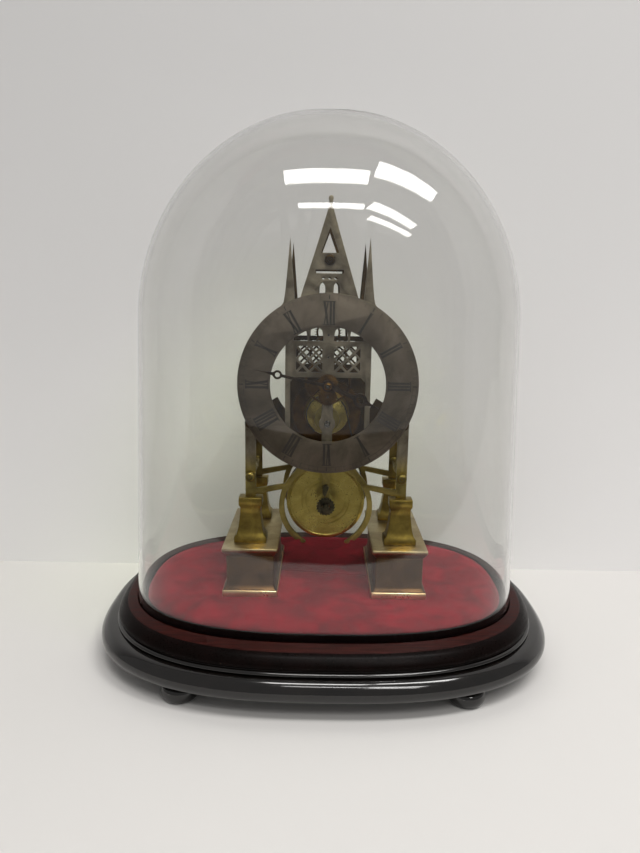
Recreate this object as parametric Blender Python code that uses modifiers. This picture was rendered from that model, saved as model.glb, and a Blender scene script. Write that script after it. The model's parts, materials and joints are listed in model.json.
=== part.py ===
"""Gothic skeleton clock with chain and fusee, on a stand under an oval glass dome.

X runs to the clock's right as seen from the front, Y to the back and Z up. The origin is
on the floor under the middle of the stand. Lengths are in metres.
"""

import math

import bmesh
import bpy
from mathutils import Vector

# Gaps between pieces that touch on the real clock
SEAT = 0.0003
RUNNING_FIT = 0.0003
OVERRUN = 0.004
WELD = 0.000002
TURNING_WELD = 0.00001

# Stand and dome
BUN_FOOT_RADIUS = 0.0155
BUN_FOOT_HEIGHT = 0.016
BUN_FOOT_X_SHARE = 0.570
BUN_FOOT_Y_SHARE = 0.760
LOWER_HALF_LENGTH = 0.201
LOWER_HALF_WIDTH = 0.146
LOWER_BASE_HEIGHT = 0.018
UPPER_HALF_LENGTH = 0.187
UPPER_HALF_WIDTH = 0.138
UPPER_BASE_HEIGHT = 0.016
DOME_HALF_LENGTH = 0.170
DOME_HALF_WIDTH = 0.115
DOME_HEIGHT = 0.415
DOME_WALL_HEIGHT = 0.240
DOME_TAPER_SHARE = 0.948
GLASS_THICKNESS = 0.003
GROOVE_DEPTH = 0.004
GROOVE_PLAY = 0.0005
VELVET_HALF_LENGTH = 0.162
VELVET_HALF_WIDTH = 0.101
VELVET_THICKNESS = 0.008

# Pedestals and the frame's feet
PLINTH_X = 0.0645
PLINTH_HEIGHT = 0.044
PLINTH_CAP_HEIGHT = 0.008
PLINTH_HALF_WIDTH = 0.0205
PLINTH_HALF_DEPTH = 0.0505
PLINTH_MOULDING = 0.0035
FRAME_FOOT_HEIGHT = 0.040
FRAME_FOOT_HALF_WIDTH = 0.014
FRAME_FOOT_HALF_DEPTH = 0.009

# Frame
CENTRE_HEIGHT = 0.141
PLATE_DISTANCE = 0.060
PLATE_THICKNESS = 0.003
SPIRE_HEIGHT = 0.1465
SPIRE_HALF_WIDTH = 0.0273
TOWER_HEIGHT = 0.060
TOWER_HALF_WIDTH = 0.036
TOWER_POST = 0.0042
MULLION = 0.009
PINNACLE_X = 0.0325
PINNACLE_HEIGHT = 0.118
PINNACLE_HALF_WIDTH = 0.0042
CROCKET = 0.0042
FINIAL_RADIUS = 0.0022
SPIRE_EYE = 0.0013
SPIRE_LIGHT_WIDTH = 0.0052
LATTICE_BOTTOM = 0.009
LATTICE_HEIGHT = 0.022
LATTICE_HALF_GAP = 0.005
LATTICE_WIDTH = 0.022
LATTICE_BAR = 0.0017
SHOULDER_INNER_RADIUS = 0.052
SHOULDER_OUTER_RADIUS = 0.072
COLUMN_WIDTH = 0.009
COLUMN_X = 0.0655
COLUMN_TOP = 0.035
HORSESHOE_RADIUS = 0.041
HORSESHOE_WIDTH = 0.0045
HANGER_WIDTH = 0.0068
BOSS_RADIUS = 0.007
PILLAR_RADIUS = 0.0034
PILLAR_END_RADIUS = 0.0016
PILLAR_NUT_RADIUS = 0.0044
PILLAR_NUT_HEIGHT = 0.004

# Dial and hands
DIAL_RADIUS = 0.075
DIAL_INNER_RADIUS = 0.048
DIAL_THICKNESS = 0.0015
DIAL_STAND_OFF = 0.0115
DIAL_FOOT_RADIUS = 0.0015
HAND_THICKNESS = 0.0008
HAND_STEP = 0.0016
MINUTE_HAND_LENGTH = 0.064
HOUR_HAND_LENGTH = 0.047
SHOWN_HOUR = 3
SHOWN_MINUTE = 47

# Going train: teeth and modules
GREAT_TEETH = 96
GREAT_MODULE = 0.000673
CENTRE_PINION_TEETH = 8
CENTRE_TEETH = 84
CENTRE_MODULE = 0.00048
THIRD_PINION_TEETH = 7
THIRD_TEETH = 80
THIRD_MODULE = 0.00042
ESCAPE_PINION_TEETH = 7
ESCAPE_TEETH = 30
ESCAPE_RADIUS = 0.0125
MOTION_MODULE = 0.00055
CANNON_TEETH = 10
MINUTE_WHEEL_TEETH = 30
MINUTE_PINION_TEETH = 8
HOUR_TEETH = 32
WHEEL_THICKNESS = 0.0016
GREAT_WHEEL_THICKNESS = 0.0024
PINION_LENGTH = 0.007
ARBOR_RADIUS = 0.0012
PIVOT_RADIUS = 0.0006

# Places of the wheels between the plates, measured from the middle of the frame
GREAT_WHEEL_Y = 0.022
CENTRE_WHEEL_Y = -0.0212
THIRD_WHEEL_Y = -0.0085
ESCAPE_WHEEL_Y = 0.004

# Barrel, fusee and chain
BARREL_RADIUS = 0.035
BARREL_LENGTH = 0.036
BARREL_WALL = 0.002
BARREL_DROP = 0.0735
BARREL_ARBOR_RADIUS = 0.003
SPRING_TURNS = 4
SPRING_STRIP = 0.0009
FUSEE_LARGE_RADIUS = 0.021
FUSEE_SMALL_RADIUS = 0.011
FUSEE_LENGTH = 0.034
FUSEE_TURNS = 7
FUSEE_FLANGE_SHARE = 0.06
FUSEE_GROOVE_DEPTH = 0.0014
FUSEE_ARBOR_RADIUS = 0.0026
WINDING_SQUARE = 0.0034
WINDING_LENGTH = 0.007
CHAIN_RADIUS = 0.0007
CHAIN_BARREL_TURNS = 3
CHAIN_ON_FUSEE_SHARE = 0.62
RATCHET_RADIUS = 0.0085
RATCHET_TEETH = 18
STOP_SIDE_SHARE = 0.45

# Escapement and pendulum
PALLET_DISTANCE = 0.0177
PALLET_OPENING = 0.0012
PENDULUM_STAND_OFF = 0.0095
PENDULUM_LENGTH = 0.190
PENDULUM_ROD_RADIUS = 0.0011
BOB_RADIUS = 0.0225
BOB_HALF_THICKNESS = 0.0045
COCK_HALF_LENGTH = 0.025
COCK_THICKNESS = 0.002
COCK_STAND_OFF = 0.0038
CRUTCH_THICKNESS = 0.0012
CRUTCH_STAND_OFF = 0.0018
CRUTCH_LENGTH = 0.034
SUSPENSION_TOP = 0.005
SPRING_WIDTH = 0.005
RATING_NUT_HEIGHT = 0.0035

# Faces round each turned or toothed piece
FINE_SIDES = 32
ROUND_SIDES = 18
CONE_SIDES = 16
SMALL_SIDES = 12
TINY_SIDES = 8
HOLE_SIDES = 6

# How full the oval's corners are: 2 is an ellipse, more is squarer
OVAL_POWER = 2.6

stand_top = BUN_FOOT_HEIGHT + LOWER_BASE_HEIGHT + UPPER_BASE_HEIGHT + 2 * SEAT
velvet_top = stand_top + SEAT + VELVET_THICKNESS
plinth_top = velvet_top + SEAT + PLINTH_HEIGHT
plate_foot = plinth_top + SEAT + FRAME_FOOT_HEIGHT + SEAT
centre_z = plinth_top + CENTRE_HEIGHT
great_distance = (GREAT_TEETH + CENTRE_PINION_TEETH) * GREAT_MODULE / 2
fusee_z = centre_z - great_distance
barrel_z = fusee_z - BARREL_DROP
third_z = centre_z + (CENTRE_TEETH + THIRD_PINION_TEETH) * CENTRE_MODULE / 2
escape_z = third_z + (THIRD_TEETH + ESCAPE_PINION_TEETH) * THIRD_MODULE / 2
pallet_z = escape_z + PALLET_DISTANCE
motion_distance = (CANNON_TEETH + MINUTE_WHEEL_TEETH) * MOTION_MODULE / 2
minute_wheel_z = centre_z - motion_distance

inner_face = PLATE_DISTANCE / 2
outer_face = inner_face + PLATE_THICKNESS
plate_y = inner_face + PLATE_THICKNESS / 2
dial_back_y = -outer_face - DIAL_STAND_OFF
hour_hand_y = dial_back_y - DIAL_THICKNESS - HAND_STEP
minute_hand_y = hour_hand_y - HAND_THICKNESS - HAND_STEP
pendulum_y = outer_face + PENDULUM_STAND_OFF
crutch_y = outer_face + CRUTCH_STAND_OFF + CRUTCH_THICKNESS / 2
cock_y = outer_face + COCK_STAND_OFF + COCK_THICKNESS / 2

UPRIGHT = (math.pi / 2, 0, 0)
AXIS_TO_BACK = (-math.pi / 2, 0, 0)
LYING = (0, 0, 0)


for old in list(bpy.data.objects):
    bpy.data.objects.remove(old, do_unlink=True)

clock = bpy.data.collections.new("skeleton_clock")
helpers = bpy.data.collections.new("helpers")
helpers.hide_render = True
for collection in (clock, helpers):
    bpy.context.scene.collection.children.link(collection)


def material(name, colour, roughness, metallic=0.0):
    made = bpy.data.materials.new(name)
    made.use_nodes = True
    shader = made.node_tree.nodes["Principled BSDF"]
    shader.inputs["Base Color"].default_value = (*colour, 1)
    shader.inputs["Roughness"].default_value = roughness
    shader.inputs["Metallic"].default_value = metallic
    return made


brass = material("lacquered_brass", (0.60, 0.42, 0.13), 0.28, 1.0)
old_brass = material("toned_brass", (0.20, 0.16, 0.08), 0.38, 1.0)
pewter = material("grey_dial_metal", (0.17, 0.15, 0.13), 0.45, 0.8)
steel = material("polished_steel", (0.42, 0.42, 0.42), 0.25, 1.0)
blued = material("dark_hand_steel", (0.03, 0.025, 0.03), 0.30, 1.0)
ebonised = material("ebonised_wood", (0.006, 0.005, 0.005), 0.12)
velvet = material("crimson_velvet", (0.42, 0.02, 0.05), 0.95)
glass = material("clear_glass", (0.85, 0.88, 0.86), 0.03)


def shade_round(obj):
    """Smooth shading on round faces, with edges over 40 degrees left sharp."""
    obj.data.shade_smooth()
    obj.data.set_sharp_from_angle(angle=math.radians(40))


def add(name, data, look, place, turn, collection=clock):
    obj = bpy.data.objects.new(name, data)
    obj.data.materials.append(look)
    obj.location = place
    obj.rotation_euler = turn
    collection.objects.link(obj)
    if collection is helpers:
        obj.hide_render = True
        obj.display_type = "WIRE"
    return obj


def turned(name, profile, sides, look, place, turn=AXIS_TO_BACK, ring=False, collection=clock):
    """A lathe-turned piece: (radius, height) pairs down the outer side, closed when it is a ring."""
    shape = bmesh.new()
    points = [shape.verts.new((radius, 0, height)) for radius, height in profile]
    for first, second in zip(points, points[1:] + points[:1] if ring else points[1:]):
        shape.edges.new((first, second))
    mesh = bpy.data.meshes.new(name)
    shape.to_mesh(mesh)
    shape.free()
    obj = add(name, mesh, look, place, turn, collection)
    screw = obj.modifiers.new("turning", "SCREW")
    screw.steps = screw.render_steps = sides
    screw.use_merge_vertices = True
    screw.merge_threshold = TURNING_WELD
    screw.use_smooth_shade = True
    return obj


def flat(name, outlines, thickness, look, place, turn=UPRIGHT, collection=clock):
    """A piece sawn from sheet: the first outline is its edge and the rest are its holes."""
    curve = bpy.data.curves.new(name, "CURVE")
    curve.dimensions = "2D"
    curve.fill_mode = "BOTH"
    curve.extrude = thickness / 2
    for outline in outlines:
        spline = curve.splines.new("POLY")
        spline.points.add(len(outline) - 1)
        for point, (x, y) in zip(spline.points, outline):
            point.co = (x, y, 0, 1)
        spline.use_cyclic_u = True
    return add(name, curve, look, place, turn, collection)


def as_mesh(obj):
    """The same object as a mesh with welded caps, so that it can be joined or cut."""
    bpy.context.view_layer.update()
    graph = bpy.context.evaluated_depsgraph_get()
    mesh = bpy.data.meshes.new_from_object(obj.evaluated_get(graph))
    shape = bmesh.new()
    shape.from_mesh(mesh)
    bmesh.ops.remove_doubles(shape, verts=shape.verts, dist=WELD)
    bmesh.ops.recalc_face_normals(shape, faces=shape.faces)
    shape.to_mesh(mesh)
    shape.free()
    name, look = obj.name, obj.data.materials[0]
    collection = obj.users_collection[0]
    matrix = obj.matrix_world.copy()
    bpy.data.objects.remove(obj, do_unlink=True)
    made = add(name, mesh, look, (0, 0, 0), LYING, collection)
    made.matrix_world = matrix
    if not made.data.materials[0]:
        made.data.materials[0] = look
    return made


def join(body, other):
    """Joins a helper to the piece that it is one with."""
    union = body.modifiers.new(other.name, "BOOLEAN")
    union.operation = "UNION"
    union.object = other


def stack(name, sections, outline, look, place, collection=clock):
    """A moulded piece: one closed outline at several heights, as (half length, half width, height)."""
    shape = bmesh.new()
    rings = []
    for half_length, half_width, height in sections:
        rings.append([shape.verts.new((x * half_length, y * half_width, height)) for x, y in outline])
    for lower, upper in zip(rings, rings[1:]):
        for n in range(len(outline)):
            after = (n + 1) % len(outline)
            shape.faces.new((lower[n], lower[after], upper[after], upper[n]))
    shape.faces.new(reversed(rings[0]))
    shape.faces.new(rings[-1])
    mesh = bpy.data.meshes.new(name)
    shape.to_mesh(mesh)
    shape.free()
    obj = add(name, mesh, look, place, LYING, collection)
    shade_round(obj)
    return obj


def arc(centre, radius, start, end, steps):
    """Points on an arc in the drawing plane, angles in degrees from +X."""
    angles = [math.radians(start + (end - start) * n / steps) for n in range(steps + 1)]
    return [(centre[0] + radius * math.cos(a), centre[1] + radius * math.sin(a)) for a in angles]


def bore(radius, sides=HOLE_SIDES, centre=(0, 0)):
    """A round hole whose flats stay clear of a pin of this radius."""
    return arc(centre, (radius + RUNNING_FIT) / math.cos(math.pi / sides), 0, 360 - 360 / sides, sides - 1)


def mirrored(half):
    """A right-hand half outline, from the middle line round to it again, made whole."""
    return half + [(-x, z) for x, z in reversed(half) if abs(x) > SEAT / 10]


def flipped(outline):
    return [(-x, z) for x, z in reversed(outline)]


def oval(steps):
    """The unit outline of the stand and the dome."""
    points = []
    for n in range(steps):
        cosine, sine = math.cos(2 * math.pi * n / steps), math.sin(2 * math.pi * n / steps)
        x = math.copysign(abs(cosine) ** (2 / OVAL_POWER), cosine)
        y = math.copysign(abs(sine) ** (2 / OVAL_POWER), sine)
        points.append((x, y))
    return points


def square():
    """The unit outline of a pedestal or a foot, with its corners slightly eased."""
    eased_share = 0.97
    corners = []
    for x, y in ((1, 1), (-1, 1), (-1, -1), (1, -1)):
        near_side, near_end = (x, y * eased_share), (x * eased_share, y)
        corners += [near_side, near_end] if x * y > 0 else [near_end, near_side]
    return corners


def teeth(count, module, pointing, addendum_share=1.0, root_share=0.55, tip_share=0.0):
    """A toothed edge, with the middle of one tooth at this angle in radians."""
    pitch_radius = count * module / 2
    root_radius = pitch_radius - 1.5 * module
    tip_radius = pitch_radius + addendum_share * module
    step = 2 * math.pi / count
    points = []
    for n in range(count):
        middle = pointing + n * step
        tips = (-tip_share / 2, tip_share / 2) if tip_share else (0,)
        places = [(root_radius, -root_share / 2)] + [(tip_radius, tip) for tip in tips]
        places.append((root_radius, root_share / 2))
        points += [(r * math.cos(middle + a * step), r * math.sin(middle + a * step)) for r, a in places]
    return points


def pinion_teeth(count, module, pointing):
    return teeth(count, module, pointing, addendum_share=0.5, root_share=0.34, tip_share=0.2)


def crossings(count, inner_radius, outer_radius, arm_width, start=0.0):
    """The openings between the arms of a wheel."""
    windows = []
    for n in range(count):
        middle = start + 360 * n / count
        near = 180 / count - math.degrees(math.asin(arm_width / 2 / inner_radius))
        far = 180 / count - math.degrees(math.asin(arm_width / 2 / outer_radius))
        outside = arc((0, 0), outer_radius, middle - far, middle + far, 4)
        inside = arc((0, 0), inner_radius, middle + near, middle - near, 1)
        windows.append(outside + inside)
    return windows


def make_stand():
    foot_profile_shares = ((0.0, 1.0), (0.62, 1.0), (0.93, 0.8), (1.0, 0.5), (0.88, 0.18), (0.7, 0.0), (0.0, 0.0))
    profile = [(r * BUN_FOOT_RADIUS, h * BUN_FOOT_HEIGHT) for r, h in foot_profile_shares]
    foot_x, foot_y = LOWER_HALF_LENGTH * BUN_FOOT_X_SHARE, LOWER_HALF_WIDTH * BUN_FOOT_Y_SHARE
    for end, x in (("left", -foot_x), ("right", foot_x)):
        for side, y in (("front", -foot_y), ("rear", foot_y)):
            turned(f"bun_foot_{side}_{end}", profile, SMALL_SIDES, ebonised, (x, y, 0), LYING)

    lower_bottom = BUN_FOOT_HEIGHT + SEAT
    inset_shares = (
        (0.30, 0.0), (0.14, 0.10), (0.02, 0.34), (0.0, 0.50),
        (0.03, 0.68), (0.22, 0.80), (0.60, 0.86), (1.0, 1.0),
    )
    step_in = LOWER_HALF_LENGTH - UPPER_HALF_LENGTH
    sections = []
    for inset, height in inset_shares:
        narrower = inset * step_in
        z = lower_bottom + height * LOWER_BASE_HEIGHT
        sections.append((LOWER_HALF_LENGTH - narrower, LOWER_HALF_WIDTH - narrower, z))
    stack("lower_base", sections, oval(FINE_SIDES), ebonised, (0, 0, 0))

    upper_bottom = lower_bottom + LOWER_BASE_HEIGHT + SEAT
    outer_shares = ((0.04, 0.0), (0.0, 0.22), (0.10, 0.55), (0.34, 0.84), (0.60, 1.0))
    slope = UPPER_HALF_LENGTH - DOME_HALF_LENGTH
    sections = []
    for inset, height in outer_shares:
        narrower = inset * slope
        z = upper_bottom + height * UPPER_BASE_HEIGHT
        sections.append((UPPER_HALF_LENGTH - narrower, UPPER_HALF_WIDTH - narrower, z))
    for edge, z in (
        (GROOVE_PLAY, stand_top),
        (GROOVE_PLAY, stand_top - GROOVE_DEPTH),
        (-GLASS_THICKNESS - GROOVE_PLAY, stand_top - GROOVE_DEPTH),
        (-GLASS_THICKNESS - GROOVE_PLAY, stand_top),
    ):
        sections.append((DOME_HALF_LENGTH + edge, DOME_HALF_WIDTH + edge, z))
    stack("upper_base", sections, oval(FINE_SIDES), ebonised, (0, 0, 0))

    pile = VELVET_THICKNESS / 3
    bottom = stand_top + SEAT
    sections = (
        (VELVET_HALF_LENGTH, VELVET_HALF_WIDTH, bottom),
        (VELVET_HALF_LENGTH, VELVET_HALF_WIDTH, velvet_top - pile),
        (VELVET_HALF_LENGTH - pile, VELVET_HALF_WIDTH - pile, velvet_top),
    )
    stack("velvet_board", sections, oval(FINE_SIDES), velvet, (0, 0, 0))


def make_dome():
    """Blown oval shade, a little narrower at the top: an open surface, given its thickness inwards."""
    foot = stand_top - GROOVE_DEPTH + SEAT
    spring_line = stand_top + DOME_WALL_HEIGHT
    crown = DOME_HEIGHT - DOME_WALL_HEIGHT
    levels = [(1.0, foot), (DOME_TAPER_SHARE, spring_line)]
    rings_in_crown = 6
    for n in range(1, rings_in_crown):
        angle = math.pi / 2 * n / rings_in_crown
        levels.append((DOME_TAPER_SHARE * math.cos(angle), spring_line + crown * math.sin(angle)))
    shape = bmesh.new()
    outline = oval(FINE_SIDES)
    rings = []
    for share, z in levels:
        half_length, half_width = share * DOME_HALF_LENGTH, share * DOME_HALF_WIDTH
        rings.append([shape.verts.new((x * half_length, y * half_width, z)) for x, y in outline])
    top = shape.verts.new((0, 0, spring_line + crown))
    for lower, upper in zip(rings, rings[1:]):
        for n in range(len(outline)):
            after = (n + 1) % len(outline)
            shape.faces.new((lower[n], lower[after], upper[after], upper[n]))
    for n in range(len(outline)):
        shape.faces.new((rings[-1][n], rings[-1][(n + 1) % len(outline)], top))
    mesh = bpy.data.meshes.new("glass_dome")
    shape.to_mesh(mesh)
    shape.free()
    dome = add("glass_dome", mesh, glass, (0, 0, 0), LYING)
    shade_round(dome)
    wall = dome.modifiers.new("glass", "SOLIDIFY")
    wall.thickness = GLASS_THICKNESS
    wall.offset = -1
    wall.use_even_offset = True


def make_plinths():
    """Two moulded pedestals, each with its cap, and the four feet of the frame on them."""
    block_shares = ((1.0, 0.0), (1.0, 0.13), (0.86, 0.155), (0.3, 0.19), (0.1, 0.27), (0.0, 0.29), (0.0, 1.0))
    cap_shares = ((0.0, 0.0), (0.15, 0.12), (0.75, 0.5), (0.85, 0.55), (1.0, 0.6), (1.0, 1.0))
    block_height = PLINTH_HEIGHT - PLINTH_CAP_HEIGHT - SEAT
    foot_shares = (
        (1.0, 0.0), (1.0, 0.12), (0.86, 0.17), (0.74, 0.34),
        (0.64, 0.62), (0.62, 0.78), (0.72, 0.84), (0.72, 1.0),
    )
    for side, x in (("left", -PLINTH_X), ("right", PLINTH_X)):
        for piece, shares, bottom, height in (
            ("plinth", block_shares, velvet_top + SEAT, block_height),
            ("plinth_cap", cap_shares, velvet_top + SEAT + block_height + SEAT, PLINTH_CAP_HEIGHT),
        ):
            sections = []
            for out, up in shares:
                wider = out * PLINTH_MOULDING
                sections.append((PLINTH_HALF_WIDTH + wider, PLINTH_HALF_DEPTH + wider, bottom + up * height))
            stack(f"{side}_{piece}", sections, square(), brass, (x, 0, 0))
        column_x = math.copysign(COLUMN_X, x)
        for end, y in (("front", -plate_y), ("rear", plate_y)):
            sections = []
            for width, up in foot_shares:
                z = plinth_top + SEAT + up * FRAME_FOOT_HEIGHT
                sections.append((width * FRAME_FOOT_HALF_WIDTH, width * FRAME_FOOT_HALF_DEPTH, z))
            stack(f"frame_foot_{end}_{side}", sections, square(), brass, (column_x, y, 0))


def plate_places():
    """Where the pillars go through the plates, from the middle of the dial."""
    low = plate_foot - centre_z + 2 * COLUMN_WIDTH
    high = SPIRE_HEIGHT * 0.69
    return [(-COLUMN_X, -COLUMN_TOP), (COLUMN_X, -COLUMN_TOP), (-COLUMN_X, low), (COLUMN_X, low), (0, high)]


def plate_edge():
    """The outer edge of a plate: hanger, horseshoe, column, shoulder, tower, pinnacle and spire."""
    barrel = (0, barrel_z - centre_z)
    foot = plate_foot - centre_z
    half_hanger = HANGER_WIDTH / 2
    inner = HORSESHOE_RADIUS - HORSESHOE_WIDTH
    at_hanger = math.degrees(math.asin(half_hanger / inner))
    boss_end = math.degrees(math.acos(half_hanger / BOSS_RADIUS))
    column_in, column_out = COLUMN_X - COLUMN_WIDTH / 2, COLUMN_X + COLUMN_WIDTH / 2
    edge = arc(barrel, BOSS_RADIUS, -90, boss_end, 7)
    edge += arc(barrel, inner, 90 - at_hanger, -56, 9)
    curl_at = math.radians(-60)
    curl = ((inner + HORSESHOE_RADIUS) / 2 * math.cos(curl_at), barrel[1] + inner * math.sin(curl_at))
    edge += arc(curl, HORSESHOE_WIDTH * 0.62, -150, 20, 5)
    arm_low = math.degrees(math.asin((foot + COLUMN_WIDTH * 0.75 - barrel[1]) / HORSESHOE_RADIUS))
    edge += arc(barrel, HORSESHOE_RADIUS, -50, arm_low, 6)
    edge += [(column_in, foot + COLUMN_WIDTH * 0.2), (column_in, foot), (column_out, foot)]
    knob_radius = COLUMN_WIDTH * 0.55
    knob = (COLUMN_X, -COLUMN_TOP)
    edge += [(column_out, -COLUMN_TOP - COLUMN_WIDTH)]
    edge += arc(knob, knob_radius, -25, 140, 5)
    turn_in = -math.degrees(math.acos(TOWER_HALF_WIDTH / SHOULDER_INNER_RADIUS))
    edge += arc((0, 0), SHOULDER_INNER_RADIUS, -26, turn_in, 4)
    shoulder = TOWER_HEIGHT - CROCKET
    edge += [(TOWER_HALF_WIDTH, shoulder)]
    edge += arc((TOWER_HALF_WIDTH + CROCKET * 0.45, TOWER_HEIGHT), CROCKET, -90, 70, 4)
    in_x, out_x = PINNACLE_X - PINNACLE_HALF_WIDTH, PINNACLE_X + PINNACLE_HALF_WIDTH
    waist = TOWER_HEIGHT + 2 * CROCKET
    edge += [(out_x, waist), (PINNACLE_X, PINNACLE_HEIGHT), (in_x, waist), (in_x, TOWER_HEIGHT + CROCKET / 2)]
    edge += [(SPIRE_HALF_WIDTH, TOWER_HEIGHT)]
    neck = FINIAL_RADIUS / 2
    slope = SPIRE_HALF_WIDTH / (SPIRE_HEIGHT - TOWER_HEIGHT)
    edge += [(neck, SPIRE_HEIGHT - neck / slope)]
    edge += arc((0, SPIRE_HEIGHT + FINIAL_RADIUS), FINIAL_RADIUS, -50, 90, 4)
    return mirrored(edge)


def pointed(left, right, bottom, spring, top):
    """A light with a pointed arch: straight sides, then two arcs that meet at the top."""
    middle = (left + right) / 2
    half = right - middle
    rise = top - spring
    bow_share = 0.80
    high_share = 0.62
    bow = (half * bow_share, spring + rise * high_share)
    points = [(left, bottom), (right, bottom), (right, spring), (middle + bow[0], bow[1]), (middle, top)]
    return points + [(middle - bow[0], bow[1]), (left, spring)]


def lattice():
    """Diamond openings between crossed bars, with half ones at the edges."""
    columns, rows = 2, 2
    cell_x, cell_z = LATTICE_WIDTH / columns, LATTICE_HEIGHT / rows
    inset_x = LATTICE_BAR * math.hypot(1, cell_x / cell_z) / 2
    inset_z = LATTICE_BAR * math.hypot(1, cell_z / cell_x) / 2
    left, right = LATTICE_HALF_GAP, LATTICE_HALF_GAP + LATTICE_WIDTH
    low, high = LATTICE_BOTTOM, LATTICE_BOTTOM + LATTICE_HEIGHT
    openings = []
    for column in range(2 * columns + 1):
        for row in range(2 * rows + 1):
            if (column + row) % 2 == 0:
                continue
            x, z = left + column * cell_x / 2, low + row * cell_z / 2
            reach_x, reach_z = cell_x / 2 - inset_x, cell_z / 2 - inset_z
            corners = [(x, z - reach_z), (x + reach_x, z), (x, z + reach_z), (x - reach_x, z)]
            corners = [(min(max(a, left), right), min(max(b, low), high)) for a, b in corners]
            kept = [c for n, c in enumerate(corners) if c != corners[n - 1]]
            openings.append(kept)
    return openings


def plate_holes():
    """The openings of a plate: windows that the eye sees through, then the holes for pins."""
    slope = SPIRE_HALF_WIDTH / (SPIRE_HEIGHT - TOWER_HEIGHT)
    rim = PINNACLE_HALF_WIDTH * 1.2

    def inside_spire(z):
        return (SPIRE_HEIGHT - z) * slope - rim

    low, high = SPIRE_HEIGHT * 0.727, SPIRE_HEIGHT * 0.866
    openings = [[(-inside_spire(low), low), (inside_spire(low), low), (0, high)]]
    slit_low, slit_high = SPIRE_HEIGHT * 0.616, SPIRE_HEIGHT * 0.637
    slit = inside_spire(slit_high)
    openings.append([(-slit, slit_low), (slit, slit_low), (slit, slit_high), (-slit, slit_high)])
    eye_z = SPIRE_HEIGHT * 0.590
    reach = SPIRE_EYE * 1.5
    for x in (-4 * SPIRE_EYE, 0, 4 * SPIRE_EYE):
        openings.append([(x, eye_z - SPIRE_EYE), (x + reach, eye_z), (x, eye_z + SPIRE_EYE), (x - reach, eye_z)])

    half_bar = MULLION / 2
    window_right = TOWER_HALF_WIDTH - TOWER_POST
    lattice_top = LATTICE_BOTTOM + LATTICE_HEIGHT
    bar_top = lattice_top + TOWER_POST
    tracery_top = TOWER_HEIGHT * 0.79
    spring = bar_top + (tracery_top - bar_top) * 0.35
    middle = (half_bar + window_right - TOWER_POST) / 2
    light_left = FINIAL_RADIUS * 1.5
    light_right = light_left + SPIRE_LIGHT_WIDTH
    light_levels = [SPIRE_HEIGHT * share for share in (0.488, 0.535, 0.570)]
    tower_levels = [TOWER_HEIGHT * share for share in (0.86, 1.02, 1.13)]
    right_half = [
        pointed(light_left, light_right, *light_levels),
        pointed(BOSS_RADIUS, SPIRE_HALF_WIDTH * 0.68, *tower_levels),
        pointed(half_bar, middle, bar_top, spring, tracery_top),
        pointed(middle + LATTICE_BAR, window_right - TOWER_POST + LATTICE_BAR, bar_top, spring, tracery_top),
    ]
    right_half += lattice()
    right_half.append(spandrel())
    openings += right_half + [flipped(outline) for outline in right_half]
    return openings


def lower_window():
    """Between the mullion and the tower post, round the boss that carries the fusee."""
    half_bar = MULLION / 2
    right = TOWER_HALF_WIDTH - TOWER_POST
    top = LATTICE_BOTTOM - TOWER_POST
    fusee = fusee_z - centre_z
    low_right = -math.degrees(math.acos(right / SHOULDER_INNER_RADIUS))
    low_left = -math.degrees(math.acos(half_bar / SHOULDER_INNER_RADIUS))
    round_boss = math.degrees(math.asin(half_bar / BOSS_RADIUS))
    outline = [(half_bar, top), (half_bar, fusee + BOSS_RADIUS * math.cos(math.radians(round_boss)))]
    outline += arc((0, fusee), BOSS_RADIUS, 90 - round_boss, round_boss - 90, 4)[1:]
    outline += arc((0, 0), SHOULDER_INNER_RADIUS, low_left, low_right, 4)
    outline += [(right, top - TOWER_POST), (right - TOWER_POST, top)]
    return outline


def spandrel():
    """The opening between column, shoulder, horseshoe and the sloping arm at the bottom."""
    barrel = (0, barrel_z - centre_z)
    foot = plate_foot - centre_z
    column_in = COLUMN_X - COLUMN_WIDTH / 2
    shoulder_low = -math.degrees(math.acos(column_in / SHOULDER_OUTER_RADIUS))
    across = (SHOULDER_OUTER_RADIUS**2 - HORSESHOE_RADIUS**2 + barrel[1] ** 2) / (2 * abs(barrel[1]))
    meet = -math.degrees(math.asin(across / SHOULDER_OUTER_RADIUS)) + 6
    arm_high = math.degrees(math.asin((foot + COLUMN_WIDTH * 1.3 - barrel[1]) / HORSESHOE_RADIUS))
    leave = math.degrees(math.acos(SHOULDER_OUTER_RADIUS * math.cos(math.radians(meet)) / HORSESHOE_RADIUS)) - 8
    outline = arc((0, 0), SHOULDER_OUTER_RADIUS, shoulder_low, meet, 5)
    outline += arc(barrel, HORSESHOE_RADIUS, leave, arm_high, 6)
    outline.append((column_in, foot + COLUMN_WIDTH * 0.8))
    return outline


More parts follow.
